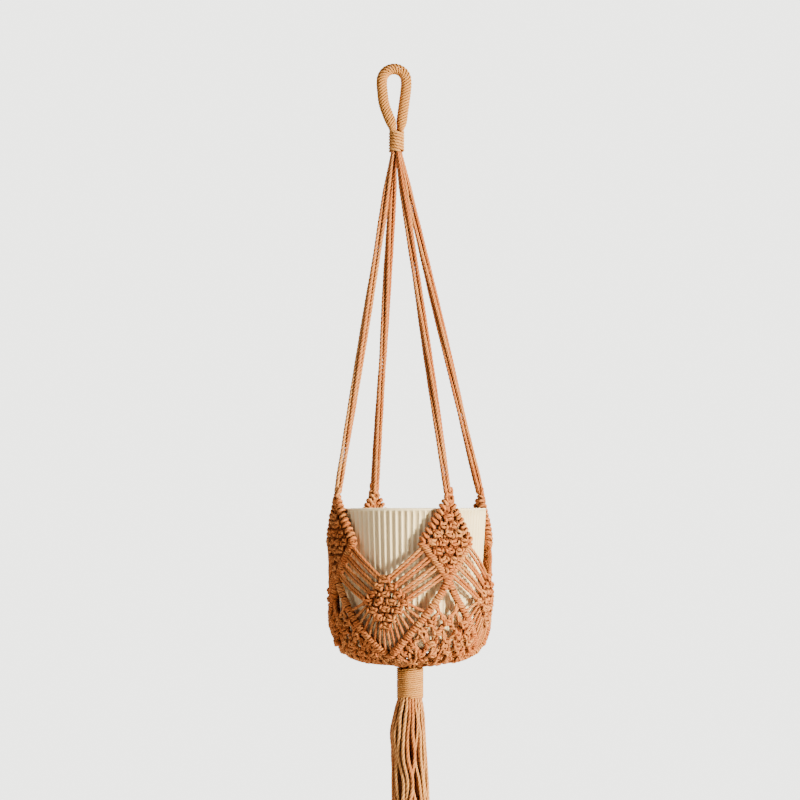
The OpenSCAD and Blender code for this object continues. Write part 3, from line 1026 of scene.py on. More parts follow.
@dataclass
class NeckBinding:
    """The binding that gathers the loop's two ends and the arms' heads."""

    layout: Layout
    finishes: Finishes
    cord_r: float = 1.5
    starts: int = 3
    packed: float = 0.97
    swell: float = 1.0

    def build(self) -> None:
        """Makes the binding and the cords that pass down into it."""
        layout = self.layout
        cover = CordWork(seed=21, groove_depth=0.12)
        top, foot = layout.neck_top - self.cord_r + 1.0, layout.neck_bottom + self.cord_r - 0.5
        path = upright(layout.neck_x, foot, top)
        pitch = self.starts * 2 * self.cord_r * self.packed
        coil_r = layout.neck_r - self.cord_r + self.swell
        for k in range(self.starts):
            coil = winding(path, coil_r, pitch, 0.8, Hand.LEFT, k / self.starts)
            coil[:, 2] = np.clip(coil[:, 2], foot, top)
            cover.add(coil, self.cord_r)
        wrap = cover.build("neck_binding", self.finishes.binding)
        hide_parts("neck_wrap")
        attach(wrap, "neck")
        legs = CordWork(seed=22)
        # each station: the middle, how far a leg stands off it, how far its cords part, depth, height
        stations = (
            (0.8 * layout.neck_x, 4.9, 1.3, 2.3, -48.5),
            (layout.neck_x, 3.8, 1.3, 2.3, -52.5),
            (layout.neck_x, 2.3, 1.3, 1.9, layout.neck_top - 0.6),
            (layout.neck_x, 2.0, 1.2, 1.6, layout.neck_top - 8),
            (layout.neck_x, 1.8, 1.2, 1.4, layout.neck_bottom + 6),
        )
        for side in (-1, 1):
            for away in (-1, 0, 1):
                points = [[mid + side * off + away * gap, side * y, z] for mid, off, gap, y, z in stations]
                legs.run(points, 1.5, 1.0)
        gathered = legs.build("neck_gathered_cords", self.finishes.working)
        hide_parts("neck_cords")
        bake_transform(gathered)
        report(wrap, gathered)


@dataclass
class HangingArm:
    """One arm: four cords side by side from the neck to the top of a diamond."""

    layout: Layout
    finishes: Finishes
    quarter: Quarter
    cord_r: float = 2.02
    neck_cord_r: float = 1.55
    bundle_d: float = 9.2
    head_share: float = 0.38
    swell: float = 60.0
    twist: float = 150.0
    neck_spread: float = 1.3
    hidden: float = 4.0
    step: float = 1.05

    def ends(self) -> tuple[np.ndarray, np.ndarray]:
        """Where the bundle leaves the neck, and its foot over the diamond."""
        layout = self.layout
        way = way_of(math.radians(layout.arm_at(self.quarter)))
        head_r = (layout.neck_r - 1.2) * (1 - self.head_share) - 0.35
        head = np.array([layout.neck_x, 0, layout.neck_bottom]) + head_r * way
        foot = np.array([layout.lean, 0, layout.apex_z]) + layout.basket_r * way
        return head, foot

    def build(self) -> None:
        head, foot = self.ends()
        seed = 31 + self.quarter.value
        work = CordWork(seed=seed, sides=12, lay_share=3.2, tone_spread=0.3)
        length = float(np.linalg.norm(foot - head))
        down = unit(foot - head)
        start = head + [0, 0, self.hidden]
        middle = evenly(np.vstack([start, head, head + down * length]), self.step)
        walked = np.linspace(0, 1, len(middle)) * (length + self.hidden)
        across = unit(np.cross(down, [0, 1, 0.001]))
        front = np.cross(across, down)
        grown = eased(walked, 0, self.swell)
        radius = self.neck_cord_r + (self.cord_r - self.neck_cord_r) * grown
        opened = eased(walked, 0, self.swell * 0.8)
        spread = self.neck_spread + (self.cord_r * 1.36 - self.neck_spread) * opened
        closing = 1 - 0.16 * eased(walked, length - 14, length)
        first = work.random.uniform(0, 90)
        for k in range(4):
            angle = np.radians(first + 90 * k + self.twist * walked / length)
            angle = angle + 0.10 * np.sin(walked / 37 + k * 1.7)
            reach = spread * closing * (1 + 0.03 * np.sin(walked / 23 + k * 2.1))
            way = np.cos(angle)[:, None] * across + np.sin(angle)[:, None] * front
            work.add(middle + reach[:, None] * way, radius)
        name = f"arm_cords_{self.quarter.label}"
        arm = work.build(name, self.finishes.working)
        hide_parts(f"arm_{self.quarter.label}")
        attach(arm, "hanger")
        report(arm)


@dataclass
class BasketSizes:
    """Sizes of the knotted basket, as the CAD nodes have them."""

    half_diamond: tuple[float, float] = (27.0, 34.5)
    half_cluster: tuple[float, float] = (26.0, 27.0)
    diamond_run: float = 44.1
    cluster_below: float = 23.0
    ridge_fall: float = 80.0
    ridge_bend: float = 0.79
    pair_half: float = 0.17
    cord_r: float = 1.62

    @property
    def diamond_foot(self) -> float:
        """Run of a diamond's lower corner."""
        return self.diamond_run + self.half_diamond[1]

    @property
    def cluster_run(self) -> float:
        """Run of a cluster's middle."""
        return self.diamond_foot + self.cluster_below

    def ridge_run(self, share: np.ndarray | float) -> np.ndarray | float:
        """Run of a lower ridge: share 0 is under a diamond, 1 the middle of the bay."""
        return self.diamond_foot + self.ridge_fall * np.power(np.clip(share, 0, 1), self.ridge_bend)


@dataclass
class DiamondPanel:
    """A diamond: square knots inside a border of double half hitches, under its apex knot."""

    layout: Layout
    finishes: Finishes
    skin: Skin
    sizes: BasketSizes
    quarter: Quarter
    inset: tuple[float, float] = (4.4, 5.5)

    @property
    def raised(self) -> float:
        """How much higher the borders part: hand-tied, one back diamond starts above the others."""
        return 6.5 if self.quarter is Quarter.BACK_LEFT else 1.0

    def build(self) -> None:
        """Makes the filling, the border and the apex knot."""
        turn, sizes = self.layout.arm_at(self.quarter), self.sizes
        label, number = self.quarter.label, self.quarter.value
        panel = KnotPanel(
            self.skin,
            turn,
            sizes.diamond_run,
            sizes.half_diamond[0] - self.inset[0],
            sizes.half_diamond[1] - self.inset[1],
            seed=41 + number,
        ).build(f"knotted_diamond_{label}", self.finishes.working)
        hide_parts(f"diamond_{label}")
        border = self._border(turn, 51 + number)
        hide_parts(f"border_{label}")
        apex = self._apex(turn, 61 + number)
        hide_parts(f"apex_knot_{label}")
        for piece in (panel, border, apex):
            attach(piece, "hanger")
        report(panel, border, apex)

    def _border(self, turn: float, seed: int) -> bpy.types.Object:
        """Hitches along the four edges."""
        work = CordWork(seed=seed)
        half_w, half_h = self.sizes.half_diamond
        fat = HitchedCord(self.skin, pitch=5.2, cord_r=2.25, coil_r=2.35, gap=1.2, turns=1.0)
        plain = HitchedCord(self.skin, pitch=5.2, cord_r=1.5, coil_r=2.6, gap=2.6, slant=0.3)
        over = 5.4 + self.raised
        for side in (-1, 1):
            upper = [[side * 1.3, -half_h - over], [side * half_w, 0.0]]
            lower = [[side * half_w, 0.0], [0.0, half_h + 0.6]]
            for corner, edge in ((upper, fat), (lower, plain)):
                line = smooth_line(np.array(corner), 1.0)
                turns = turn + np.degrees(line[:, 0] / self.layout.basket_r)
                route = np.stack([turns, self.sizes.diamond_run + line[:, 1]], 1)
                edge.mirror = side > 0
                edge.add(work, route)
        return work.build(f"hitched_border_{self.quarter.label}", self.finishes.working)

    def _apex(self, turn: float, seed: int) -> bpy.types.Object:
        """The knot where the arm's four cords part into the two borders."""
        work = CordWork(seed=seed, sides=12)
        knot = SquareKnot(legs_x=1.7, legs_y=6.5, cord_r=2.05, bulk=0.88)
        for line in knot.lines(self.quarter.value % 2 == 0, work.random, 0.7):
            middle = 0.8 - self.raised
            line[:, 1] *= np.where(line[:, 1] > 0, (15.0 - middle) / knot.legs_y, 1.4)
            work.add(self.skin.lift(line, turn, middle), knot.cord_r)
        return work.build(f"apex_knot_cords_{self.quarter.label}", self.finishes.working)


@dataclass
class OpenBay:
    """A bay: paired cords down to a cluster of knots, rays below it, and the lower ridge."""

    layout: Layout
    finishes: Finishes
    skin: Skin
    sizes: BasketSizes
    bay: Bay
    ray_shares: tuple[float, float] = (0.94, 0.33)
    rays: int = 8
    ahead: tuple[float, float] = (2.2, 3.2)

    def build(self) -> None:
        """Makes the bay's four pieces."""
        label, number, turn = self.bay.label, self.bay.value, self.layout.bay_at(self.bay)
        sizes = self.sizes
        cluster = KnotPanel(
            self.skin,
            turn,
            sizes.cluster_run,
            sizes.half_cluster[0] - 1.5,
            sizes.half_cluster[1] - 1.0,
            seed=71 + number,
            unrest=2.6,
            relief=1.1,
        ).build(f"knotted_cluster_{label}", self.finishes.working)
        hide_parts(f"knot_cluster_{label}")
        pairs = self._pairs(turn, 81 + number)
        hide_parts(f"bay_cords_{label}")
        rays = self._rays(turn, 91 + number)
        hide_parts(f"ray_cords_{label}")
        ridge = self._ridge(turn, 101 + number)
        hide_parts(f"lower_ridge_{label}")
        for piece in (cluster, pairs, rays, ridge):
            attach(piece, "hanger")
        report(cluster, pairs, rays, ridge)

    def _cord(self, work: CordWork, start: np.ndarray, end: np.ndarray, radius: float, out: float) -> None:
        """One nearly straight cord on the skin between two [turn, run] places."""
        reach = math.hypot((end[0] - start[0]) / self.layout.turn_of(1.0), end[1] - start[1])
        t = np.linspace(0, 1, max(5, int(reach)))
        wave = 0.35 * np.sin(np.pi * t) * work.random.normal(0, 1)
        place = start + (end - start) * t[:, None]
        place[:, 0] += np.degrees(wave / self.layout.basket_r)
        height = out + 0.5 * np.sin(np.pi * t) * work.random.normal(0, 0.6)
        work.add(self.skin.place(place[:, 0], place[:, 1], height), radius)

    def _pairs(self, turn: float, seed: int) -> bpy.types.Object:
        """Eight cords a side in four pairs, from the diamonds' lower borders to the cluster."""
        work = CordWork(seed=seed)
        half_w, half_h = self.sizes.half_diamond
        wide, high = self.sizes.half_cluster
        bay_half = self.layout.basket_r * math.pi / 4
        layout, sizes = self.layout, self.sizes
        for side in (-1, 1):
            for pair in range(4):
                for place in (-1, 1):
                    u = (pair + 0.5 + place * sizes.pair_half) / 4
                    start = [
                        turn + side * layout.turn_of(bay_half - half_w * (1 - u) + 0.6),
                        sizes.diamond_run + half_h * u - 0.4,
                    ]
                    end = [
                        turn + side * layout.turn_of(wide * u * 0.94),
                        sizes.cluster_run - high * (1 - u) * 0.94 + 1.2,
                    ]
                    self._cord(work, np.array(start), np.array(end), sizes.cord_r, 0.2)
        return work.build(f"paired_cords_{self.bay.label}", self.finishes.working)

    def _rays(self, turn: float, seed: int) -> bpy.types.Object:
        """Eight cords a side, fanned from the cluster to the lower ridge."""
        work = CordWork(seed=seed)
        wide, high = self.sizes.half_cluster
        for side in (-1, 1):
            for k in range(self.rays):
                u = (k + 0.5) / self.rays
                share = self.ray_shares[0] + (self.ray_shares[1] - self.ray_shares[0]) * k / (self.rays - 1)
                start = [
                    turn + side * self.layout.turn_of(wide * u * 0.93),
                    self.sizes.cluster_run + high * (1 - u) * 0.93 - 0.5,
                ]
                end = [turn + side * 45 * (1 - share), self.sizes.ridge_run(share)]
                self._cord(work, np.array(start), np.array(end), self.sizes.cord_r * 0.96, 0.1)
        return work.build(f"ray_cords_{self.bay.label}_fan", self.finishes.working)

    def _ridge(self, turn: float, seed: int) -> bpy.types.Object:
        """Hitches from under one diamond down to the bay's middle and up to the next."""
        work = CordWork(seed=seed)
        for side in (-1, 1):
            share = np.linspace(0, 1, 60) ** 1.2
            route = np.stack([turn + side * 45 * (1 - share), self.sizes.ridge_run(share)], 1)
            ahead = [[turn + side * (45.0 + self.ahead[0]), self.sizes.diamond_foot - self.ahead[1]]]
            route = np.vstack([ahead, route])
            hitches = HitchedCord(self.skin, mirror=side > 0)
            hitches.add(work, route, out=0.9 if side > 0 else -0.1)
        return work.build(f"hitched_ridge_{self.bay.label}", self.finishes.working)


@dataclass
class BaseNet:
    """The open net of small knots that closes the basket under the pot."""

    layout: Layout
    finishes: Finishes
    skin: Skin
    sizes: BasketSizes
    first_run: float = 121.6
    row_pitch: float = 10.6
    last_run: float = 178.0
    columns: int = 28
    clear: float = 10.0
    cord_r: float = 1.75
    step: float = 0.66
    leads: tuple[float, ...] = (0.5, 0.68, 0.86)

    def build(self) -> None:
        """Makes one net piece for each quarter."""
        spacing = 360.0 / self.columns
        quarters = list(Quarter)
        works = [CordWork(seed=121 + q.value) for q in quarters]
        rows = int((self.last_run - self.first_run) / self.row_pitch) + 1
        for row in range(rows):
            run = self.first_run + row * self.row_pitch
            for column in range(self.columns):
                turn = self.layout.arm_turn + spacing * (column + 0.5 * (row % 2))
                if run < self._ridge_at(turn) + self.clear:
                    continue
                number = int(((turn - self.layout.arm_turn + 45) % 360) // 90)
                self._knot(works[number], turn, run, spacing, row)
        for quarter, work in zip(quarters, works, strict=True):
            self._through_cords(work, self.layout.arm_at(quarter))
        for quarter, work in zip(quarters, works, strict=True):
            net = work.build(f"open_net_{quarter.label}", self.finishes.working)
            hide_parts(f"base_net_{quarter.label}")
            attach(net, "hanger")
            report(net)

    def _ridge_at(self, turn: float) -> float:
        """Run of the lower ridge at a turn."""
        return float(self.sizes.ridge_run(abs(self._from_arm(turn)) / 45))

    def _from_arm(self, turn: float) -> float:
        """Degrees from the nearest arm to a turn."""
        return (turn - self.layout.arm_turn + 45) % 90 - 45

    def _knot(self, work: CordWork, turn: float, run: float, spacing: float, row: int) -> None:
        """One small knot with its legs, the upper ones drawn up to the ridge where no knot is above."""
        half = math.radians(spacing / 4) * self.layout.basket_r
        knot = SquareKnot(legs_x=half, legs_y=self.row_pitch / 2, cord_r=self.cord_r, unrest=2.2)
        squash = (0.98, 0.88, 1.15 - 0.35 * float(eased(run, 140, 165)))
        for line in knot.lines(bool(row % 2), work.random, self.step):
            scaled = line * squash
            scaled[[0, -1], :2] = line[[0, -1], :2]
            side = 1 if line[0, 0] > 0 else -1
            above = run - self.row_pitch
            if above < self._ridge_at(turn + side * spacing / 2) + self.clear or row == 0:
                scaled = np.vstack([self._lead(turn, run, side, spacing), scaled])
            local = smooth_line(scaled[::2], self.step) if len(scaled) > 8 else scaled
            work.add(self._uneven(local, turn, run), self.cord_r)

    def _through_cords(self, work: CordWork, axis: float) -> None:
        """Pairs of cords that come out under the ridges and slant down into the net."""
        for side in (-1, 1):
            for share in self.leads:
                for apart in (-0.025, 0.025):
                    start = share + apart
                    length = 14.0 + work.random.normal(0, 2.0)
                    t = np.linspace(0, 1, 26)
                    reach = np.degrees(length * 0.75 / self.layout.basket_r)
                    bow = 1.2 * np.sin(np.pi * t) * work.random.normal()
                    turns = axis + side * (45 * start - reach * t - bow)
                    runs = self.sizes.ridge_run(start) + length * t
                    out = 0.4 + 1.5 * np.sin(np.pi * t) - 1.2 * t**3
                    work.add(self.skin.place(turns, runs, out), self.cord_r)

    def _uneven(self, local: np.ndarray, turn: float, run: float) -> np.ndarray:
        """Lays a knot's line on the skin, drawn out of true the same way all over the net."""
        turns = turn + np.degrees(local[:, 0] / self.layout.basket_r)
        runs = run + local[:, 1]
        swing = np.radians(turns)
        free = eased(runs, self.first_run - 14, self.first_run + 14)
        aside = 1.6 * np.sin(runs / 7.3 + 5 * swing) + 1.1 * np.sin(13 * swing + runs / 4.1)
        down = 1.5 * np.sin(9 * swing + 1.3) + 1.2 * np.sin(19 * swing + runs / 6)
        proud = 0.3 + 0.7 * np.sin(7 * swing + runs / 5) + 0.4 * np.sin(23 * swing)
        return self.skin.place(turns + free * aside, runs + free * down, local[:, 2] + free * proud)

    def _lead(self, turn: float, run: float, side: int, spacing: float) -> np.ndarray:
        """Points from the ridge down to a knot's upper leg."""
        reach = 0.5
        away = self._from_arm(turn)
        while reach < 4.0:
            here = turn + side * spacing / 2 * (min(reach, 1.0) if side * away < 0 else reach)
            if run - self.row_pitch * reach < self._ridge_at(here) + 1.5:
                break
            reach += 0.05
        across = math.radians(spacing / 2) * self.layout.basket_r * side
        shares = np.linspace(reach, 0.55, max(2, int(reach * 5)))
        inward = np.minimum(shares, 1.0 - 0.25 * (shares - 1.0)) if side * away < 0 else shares
        return np.stack([across * inward, -self.row_pitch * shares, 0 * shares], 1)


@dataclass
class CordGather:
    """All the cords of the net, drawn together under the pot and down into the tassel's binding."""

    layout: Layout
    finishes: Finishes
    skin: Skin
    strands: int = 44
    cord_r: float = 1.5
    start_run: float = 170.0
    reach: float = 27.0
    early_reach: float = 34.0
    inside: float = 3.6

    def build(self) -> None:
        """Makes the gathered cords."""
        layout = self.layout
        work = CordWork(seed=141)
        bound = layout.wrap_r - self.inside
        for k in range(self.strands):
            turn = layout.arm_turn + 360.0 * (k + 0.3 * work.random.normal(0, 0.5)) / self.strands
            depth = work.random.uniform(-1.2, 1.4)
            early = self.early_reach if k % 2 == 0 else 0.0
            shares = np.linspace(0, 1, 7 if early else 4)
            aside = (1 - shares) * work.random.normal(0, 0.3) * early
            wave = 2.2 * np.sin(TAU * (shares * 1.4 + work.random.uniform())) if early else 0.0
            outer = self.skin.place(
                turn + work.random.normal(0, 1.2, len(shares)) + aside + wave,
                self.start_run - early + (self.reach + early) * shares,
                0.8 * shares * (1 + depth) + (3.2 * np.sin(np.pi * shares) - 0.8 if early else 0),
            )
            angle = math.radians(turn + work.random.normal(0, 4))
            inner_r = bound - work.random.uniform(0, 3.0)
            way = way_of(angle)
            centre = np.array([layout.lean, 0, 0])
            stations = (
                (bound + 5.5, 4.0 + depth), (inner_r + 1.6, 1.2), (inner_r, -4.0), (inner_r - 0.5, -12.0),
            )  # fmt: skip
            tail = [centre + way * radius + [0, 0, layout.wrap_top + rise] for radius, rise in stations]
            work.run(np.vstack([outer, tail]), self.cord_r, 0.9)
        gather = work.build("gathered_base_cords", self.finishes.working)
        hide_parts("base_gather")
        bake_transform(gather)
        report(gather)


@dataclass
class FlutedPot:
    """A thrown pot: plain rounded lip, upright flutes down to a round corner, and a smooth inside."""

    layout: Layout
    finishes: Finishes
    taper: float = 3.6
    wall: float = 4.0
    corner: float = 15.0
    floor_rise: float = 5.0
    flutes: int = 82
    depth: float = 1.6
    per_flute: int = 10
    lip: float = 1.8
    lip_r: float = 0.9

    def outline(self) -> list[tuple[float, float, float]]:
        """The profile as [radius, height, share of flute depth], from the lip's inside down round to it."""
        slope = math.tan(math.radians(self.taper))
        height = self.layout.rim_z - self.layout.pot_base
        r_top, corner, edge = self.layout.pot_r, self.corner, self.lip_r
        foot = r_top - (height - corner) * slope
        outer = []
        for a in np.radians([90, 70, 50, 30, 12, 0]):
            outer.append((r_top - edge + edge * math.cos(a), height - edge + edge * math.sin(a), 0.0))
        for down in (self.lip, self.lip + 0.5, self.lip + 1.0, self.lip + 1.6):
            share = min(1.0, (down - self.lip) / 1.4)
            outer.append((r_top - down * slope, height - down, share))
        for z in np.linspace(height - 8, corner + 4, 22):
            outer.append((r_top - (height - z) * slope, float(z), 1.0))
        for a in np.radians(np.linspace(0, 90, 11)):
            share = max(0.0, 1 - a / math.radians(38))
            outer.append((foot - corner + corner * math.cos(a), corner - corner * math.sin(a), share))
        outer += [(foot - corner - 6, 0.0, 0.0), (foot - corner - 8.5, 1.2, 0.0), (0.0, 1.2, 0.0)]
        inner_corner = corner - self.wall
        inside = [(0.0, self.floor_rise, 0.0)]
        floor_r = r_top - (height - self.floor_rise - inner_corner) * slope - self.wall
        inside.append((floor_r - inner_corner - 14, self.floor_rise, 0.0))
        for a in np.radians(np.linspace(90, 0, 8)):
            radius = floor_r - inner_corner + inner_corner * math.cos(a)
            inside.append((radius, self.floor_rise + inner_corner - inner_corner * math.sin(a), 0.0))
        for z in np.linspace(self.floor_rise + inner_corner + 10, height - 3, 8):
            inside.append((r_top - (height - z) * slope - self.wall, float(z), 0.0))
        for a in np.radians([180, 160, 135, 110]):
            radius = r_top - self.wall + edge + edge * math.cos(a)
            inside.append((radius, height - edge + edge * math.sin(a), 0.0))
        return outer + inside

    def build(self) -> None:
        """Makes the pot's mesh with its flutes."""
        profile = self.outline()
        around = self.flutes * self.per_flute
        angle = TAU * np.arange(around) / around
        phase = (np.arange(around) / self.per_flute) % 1.0
        hollow = np.sin(np.pi * phase) ** 0.75
        points, edge = [], []
        for radius, height, share in profile:
            r = np.maximum(radius - self.depth * share * hollow, 0.0)
            x, y = self.layout.lean + r * np.cos(angle), r * np.sin(angle)
            points.append(np.stack([x, y, np.full(around, self.layout.pot_base + height)], 1))
            # painted shade mask for the glaze: how far into a flute's hollow each vertex lies
            edge.append(share * hollow**1.5)
        index = np.arange(around)
        following = (index + 1) % around
        quads = []
        for i in range(len(profile)):
            a, b = i * around, (i + 1) % len(profile) * around
            quads.append(np.stack([a + index, b + index, b + following, a + following], -1))
        mesh = fill_mesh("fluted_pot", np.concatenate(points), np.concatenate(quads), np.zeros((0, 3), int))
        put_values(mesh, "flute_hollow", np.concatenate(edge))
        self._weld(mesh)
        pot = place_object("fluted_pot", mesh, self.finishes.glaze)
        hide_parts("pot")
        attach(pot, "pot")
        report(pot)

    @staticmethod
    def _weld(mesh: bpy.types.Mesh) -> None:
        """Joins the rings that meet on the axis."""
        work = bmesh.new()
        work.from_mesh(mesh)
        bmesh.ops.remove_doubles(work, verts=work.verts, dist=1e-6)
        bmesh.ops.dissolve_degenerate(work, edges=work.edges, dist=1e-7)
        bmesh.ops.recalc_face_normals(work, faces=work.faces)
        for face in work.faces:
            face.smooth = True
        work.to_mesh(mesh)
        work.free()


@dataclass
class Tassel:
    """The bound head under the basket and the long strands that hang from it."""

    layout: Layout
    finishes: Finishes
    binding_r: float = 1.1
    starts: int = 4
    pitch: float = 2.02
    rise: float = 1.5
    swell: float = 0.7
    cord_r: float = 1.85
    wander: tuple[float, float] = (1.15, 0.6)
    # down a strand: distance, share opened to the bulge, share widened to the foot, share of wander;
    # the last distance gives way to the strand's own length
    stations: tuple[tuple[float, float, float, float], ...] = (
        (0, 0, 0, 0), (5, 0.06, 0, 0), (11, 0.3, 0, 0.3), (20, 0.62, 0, 0.6), (36, 0.95, 0, 1.0),
        (60, 1, 0.1, 1.3), (85, 1, 0.25, 1.4), (115, 1, 0.45, 1.4), (150, 1, 0.6, 1.4), (190, 1, 0.75, 1.4),
        (225, 1, 0.9, 1.4), (270, 1, 1, 1.3),
    )  # fmt: skip
    hang: tuple[tuple[float, float], ...] = (
        (0, 0), (10, -0.5), (22, -1.6), (40, -2.3), (62, -1.4), (85, 0.0), (115, 1.2), (160, 0.8), (270, 0),
    )  # fmt: skip

    def build(self) -> None:
        """Makes the binding, its packed cords, the crown and every strand."""
        layout = self.layout
        cover = CordWork(seed=151, groove_depth=0.12, tone_spread=0.08)
        top, foot = layout.wrap_top + self.rise - self.binding_r, layout.wrap_bottom + self.binding_r
        path = upright(layout.lean, foot, top)
        coil_r = layout.wrap_r - self.binding_r + self.swell
        for k in range(self.starts):
            coil = winding(path, coil_r, self.starts * self.pitch, 0.9, Hand.RIGHT, k / self.starts)
            coil[:, 2] += 0.12 * np.sin(np.arange(len(coil)) / 17 + k)
            coil[:, 2] = np.clip(coil[:, 2], foot, top)
            cover.add(coil, self.binding_r)
        wrap = cover.build("tassel_binding", self.finishes.binding)
        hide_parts("tassel_wrap")
        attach(wrap, "tassel_head")
        packed = CordWork(seed=152)
        for ring, count in ((8.4, 14), (4.9, 8), (1.4, 3)):
            for k in range(count):
                a = TAU * (k + 0.3 * ring) / count
                spot = np.array([layout.lean + ring * math.cos(a), ring * math.sin(a), 0])
                ends = [spot + [0, 0, layout.wrap_top - 3], spot + [0, 0, layout.wrap_bottom + 2]]
                packed.run(ends, 1.7, 1.2)
        cords = packed.build("bound_tassel_cords", self.finishes.working)
        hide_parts("tassel_cords")
        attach(cords, "tassel_head")
        report(wrap, cords)
        self._strands()

    def _strand(
        self, random: np.random.Generator, turn: float, top_r: float, bulge_r: float, foot_r: float
    ) -> np.ndarray:
        """One wavy strand from inside the binding to its cut end."""
        layout = self.layout
        start = layout.wrap_bottom + 4
        drop = start - layout.strand_end - random.uniform(0, 5)
        below, opened, widened, wander = np.array(self.stations).T
        below[-1] = drop
        radius = top_r + (bulge_r - top_r) * opened + (foot_r - bulge_r) * widened
        count = len(below)
        angle = math.radians(turn) + random.normal(0, self.wander[0], count) * wander / np.maximum(radius, 4)
        radius = radius + random.normal(0, self.wander[1], count) * wander
        hang = np.interp(below, *zip(*self.hang, strict=True))
        x = layout.lean + hang + radius * np.sin(angle)
        y = -radius * np.cos(angle)
        return smooth_line(np.stack([x, y, start - below], 1), 1.4)

    def _strands(self) -> None:
        """Hangs the strands in three rings."""
        layout = self.layout
        # each ring: its name, strands, radii at the top, the bulge and the foot, first turn, tone (lighter
        # outside, darker inside: painted shade), CAD node
        rings = (
            ("outer", 24, 10.6, 16.4, layout.tassel_r - 2.0, 0.0, 0.5, "tassel_outer_strands"),
            ("middle", 20, 7.4, 11.6, 14.0, 7.0, -0.5, "tassel_crown"),
            ("inner", 10, 3.6, 6.2, 7.4, 19.0, -0.8, "tassel_inner_strands"),
        )
        for label, count, top_r, bulge_r, foot_r, offset, tone, node in rings:
            random = np.random.default_rng(160 + count)
            made = []
            for k in range(count):
                turn = offset + 360.0 * k / count + random.normal(0, 1.5)
                line = self._strand(random, turn, top_r, bulge_r, foot_r)
                # the ring's tone darkens the inner strands as painted shade; the spread about it is each
                # strand's own random tone
                work = CordWork(seed=200 + 40 * len(label) + k, tone_spread=0.4, tone_middle=tone)
                work.add(line, self.cord_r * random.normal(1, 0.05))
                strand = work.build(f"tassel_{label}_strand_{k + 1:02d}", self.finishes.working)
                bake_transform(strand)
                made.append(strand)
                if label == "outer" and k % 3 != 2:
                    [tuple(p) for p in line * MM]
            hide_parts(node)
            report(*made)


# ---------------------------------------------------------------------------------------------
# Studio
# ---------------------------------------------------------------------------------------------


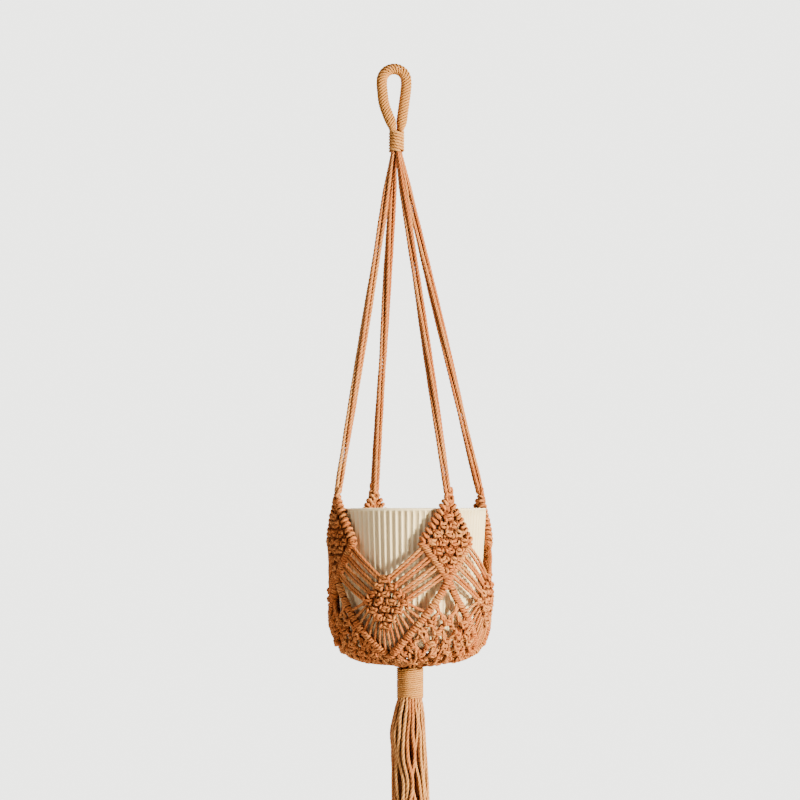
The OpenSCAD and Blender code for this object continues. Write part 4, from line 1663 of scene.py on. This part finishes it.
@dataclass
class Studio:
    """Camera, soft lights, a pale floor and a pale surround."""

    lens: float = 110.0
    sensor: float = 36.0
    frame_w: float = 0.8
    aim: tuple[float, float, float] = (0.006, 0.0, -0.328)
    eye_z: float = -0.43
    floor_z: float = -1.0
    floor_r: float = 1.6
    surround_r: float = 6.0
    surround_rise: float = -0.3
    surround: str = "#f1f1ec"
    surround_strength: float = 4.0
    floor: str = "#e9e7e1"
    floor_fade: tuple[float, float] = (0.35, 0.95)
    lamps_aim: tuple[float, float, float] = (0.02, 0.0, -0.38)
    room: str = "#ecdccb"
    room_strength: float = 0.17

    def camera(self) -> None:
        """Sets the camera level with the pot's rim, looking straight at the front."""
        data = bpy.data.cameras.new("eye")
        data.lens, data.sensor_width = self.lens, self.sensor
        data.clip_start, data.clip_end = 0.05, 50.0
        away = self.frame_w * self.lens / self.sensor
        rise = self.aim[2] - self.eye_z
        eye = Vector((self.aim[0], -math.sqrt(away**2 - rise**2), self.eye_z))
        bpy.context.scene.camera = self._aimed("eye", data, eye, Vector(self.aim))

    @staticmethod
    def _aimed(name: str, data: bpy.types.ID, place: Vector, aim: Vector) -> bpy.types.Object:
        """Puts a camera or a lamp at a place, turned to look at another."""
        thing = bpy.data.objects.new(name, data)
        thing.location = place
        thing.rotation_mode = "QUATERNION"
        thing.rotation_quaternion = (aim - place).to_track_quat("-Z", "Y")
        bpy.context.scene.collection.objects.link(thing)
        return thing

    def light(self) -> None:
        """Sets a key light on the right, a weak fill, one above and one behind, in a dim warm room."""
        for name, place, size, power, colour in (
            ("key", (2.3, -1.6, -0.1), 0.5, 335.0, "#ffefc6"),
            ("fill", (-2.3, -1.5, 0.3), 0.35, 28.0, "#ffe4c8"),
            ("top", (0.5, -0.9, 1.6), 1.0, 12.0, "#fff3e0"),
            ("back", (0.5, 2.4, 0.5), 1.0, 90.0, "#fff0d8"),
        ):
            data = bpy.data.lights.new(name, "AREA")
            data.shape, data.size, data.energy = "DISK", size, power
            data.color = linear(colour)[:3]
            self._aimed(name, data, Vector(place), Vector(self.lamps_aim))
        world = bpy.data.worlds.new("soft_room")
        world.use_nodes = True
        backdrop = world.node_tree.nodes["Background"]
        backdrop.inputs["Color"].default_value = linear(self.room)
        backdrop.inputs["Strength"].default_value = self.room_strength
        bpy.context.scene.world = world

    def surroundings(self) -> None:
        """Lays the floor disc and the pale surround, which only the camera sees."""
        self._disc("studio_floor", self.floor_r, self.floor_z)
        mesh = bpy.data.meshes.new("studio_surround")
        rings, around = 24, 64
        rise = np.repeat(np.pi * (np.arange(rings + 1) / rings - 0.5), around)
        turn = np.tile(TAU * np.arange(around) / around, rings + 1)
        ball = np.stack([np.cos(rise) * np.cos(turn), np.cos(rise) * np.sin(turn), np.sin(rise)], 1)
        points = (self.surround_r * ball + [0, 0, self.surround_rise]).tolist()
        faces = []
        for i in range(rings):
            low, high = i * around, (i + 1) * around
            for k in range(around):
                beside = (k + 1) % around
                faces.append((low + k, low + beside, high + beside, high + k))
        mesh.from_pydata(points, [], faces)
        material, add = new_material("pale_paper_surround")
        glow = add("Emission", {"Color": linear(self.surround), "Strength": self.surround_strength})
        add("OutputMaterial", {"Surface": glow})
        surround = place_object("studio_surround", mesh, material)
        for ray in ("diffuse", "glossy", "transmission", "shadow"):
            setattr(surround, f"visible_{ray}", False)

    def _disc(self, name: str, radius: float, height: float) -> None:
        """A round matt floor that fades out towards its edge."""
        mesh = bpy.data.meshes.new(name)
        around = 96
        turns = TAU * np.arange(around) / around
        rim = [(radius * math.cos(a), radius * math.sin(a), height) for a in turns]
        faces = [(0, k + 1, (k + 1) % around + 1) for k in range(around)]
        mesh.from_pydata([(0.0, 0.0, height), *rim], [], faces)
        material, add = new_material("matt_painted_floor")
        space = add("TexCoord", out="Object")
        flat = add("VectorMath", {0: space, 1: (1, 1, 0)}, operation="MULTIPLY")
        away = add("VectorMath", {0: flat}, out="Value", operation="LENGTH")
        reach = {0: away, "From Min": radius * self.floor_fade[0], "From Max": radius * self.floor_fade[1]}
        fade = add("MapRange", reach, interpolation_type="SMOOTHSTEP")
        paint = add("BsdfPrincipled", {"Base Color": linear(self.floor), "Roughness": 0.9})
        mixed = add("MixShader", {0: fade, 1: paint, 2: add("BsdfTransparent")})
        add("OutputMaterial", {"Surface": mixed})
        place_object(name, mesh, material)


def main() -> None:
    """Builds the planter round its frame, piece by piece."""
    logging.basicConfig(level=logging.INFO, format="%(name)s: %(message)s")
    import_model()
    studio = Studio()
    studio.camera()
    layout = Layout.from_frame()
    skin = Skin(layout)
    sizes = BasketSizes()
    finishes = Finishes.build()
    for quarter in Quarter:
        HangingArm(layout, finishes, quarter).build()
    Tassel(layout, finishes).build()
    HangingLoop(layout, finishes).build()
    NeckBinding(layout, finishes).build()
    for quarter in Quarter:
        DiamondPanel(layout, finishes, skin, sizes, quarter).build()
    for bay in Bay:
        OpenBay(layout, finishes, skin, sizes, bay).build()
    BaseNet(layout, finishes, skin, sizes).build()
    CordGather(layout, finishes, skin).build()
    FlutedPot(layout, finishes).build()
    dyed = (finishes.working, finishes.binding)
    # painted shade: every cord piece gets the packing measure that its finish turns into painted occlusion
    FoldDepth().put([o for o in bpy.data.objects if o.type == "MESH" and o.active_material in dyed])
    studio.light()
    studio.surroundings()


if __name__ == "__main__":
    main()
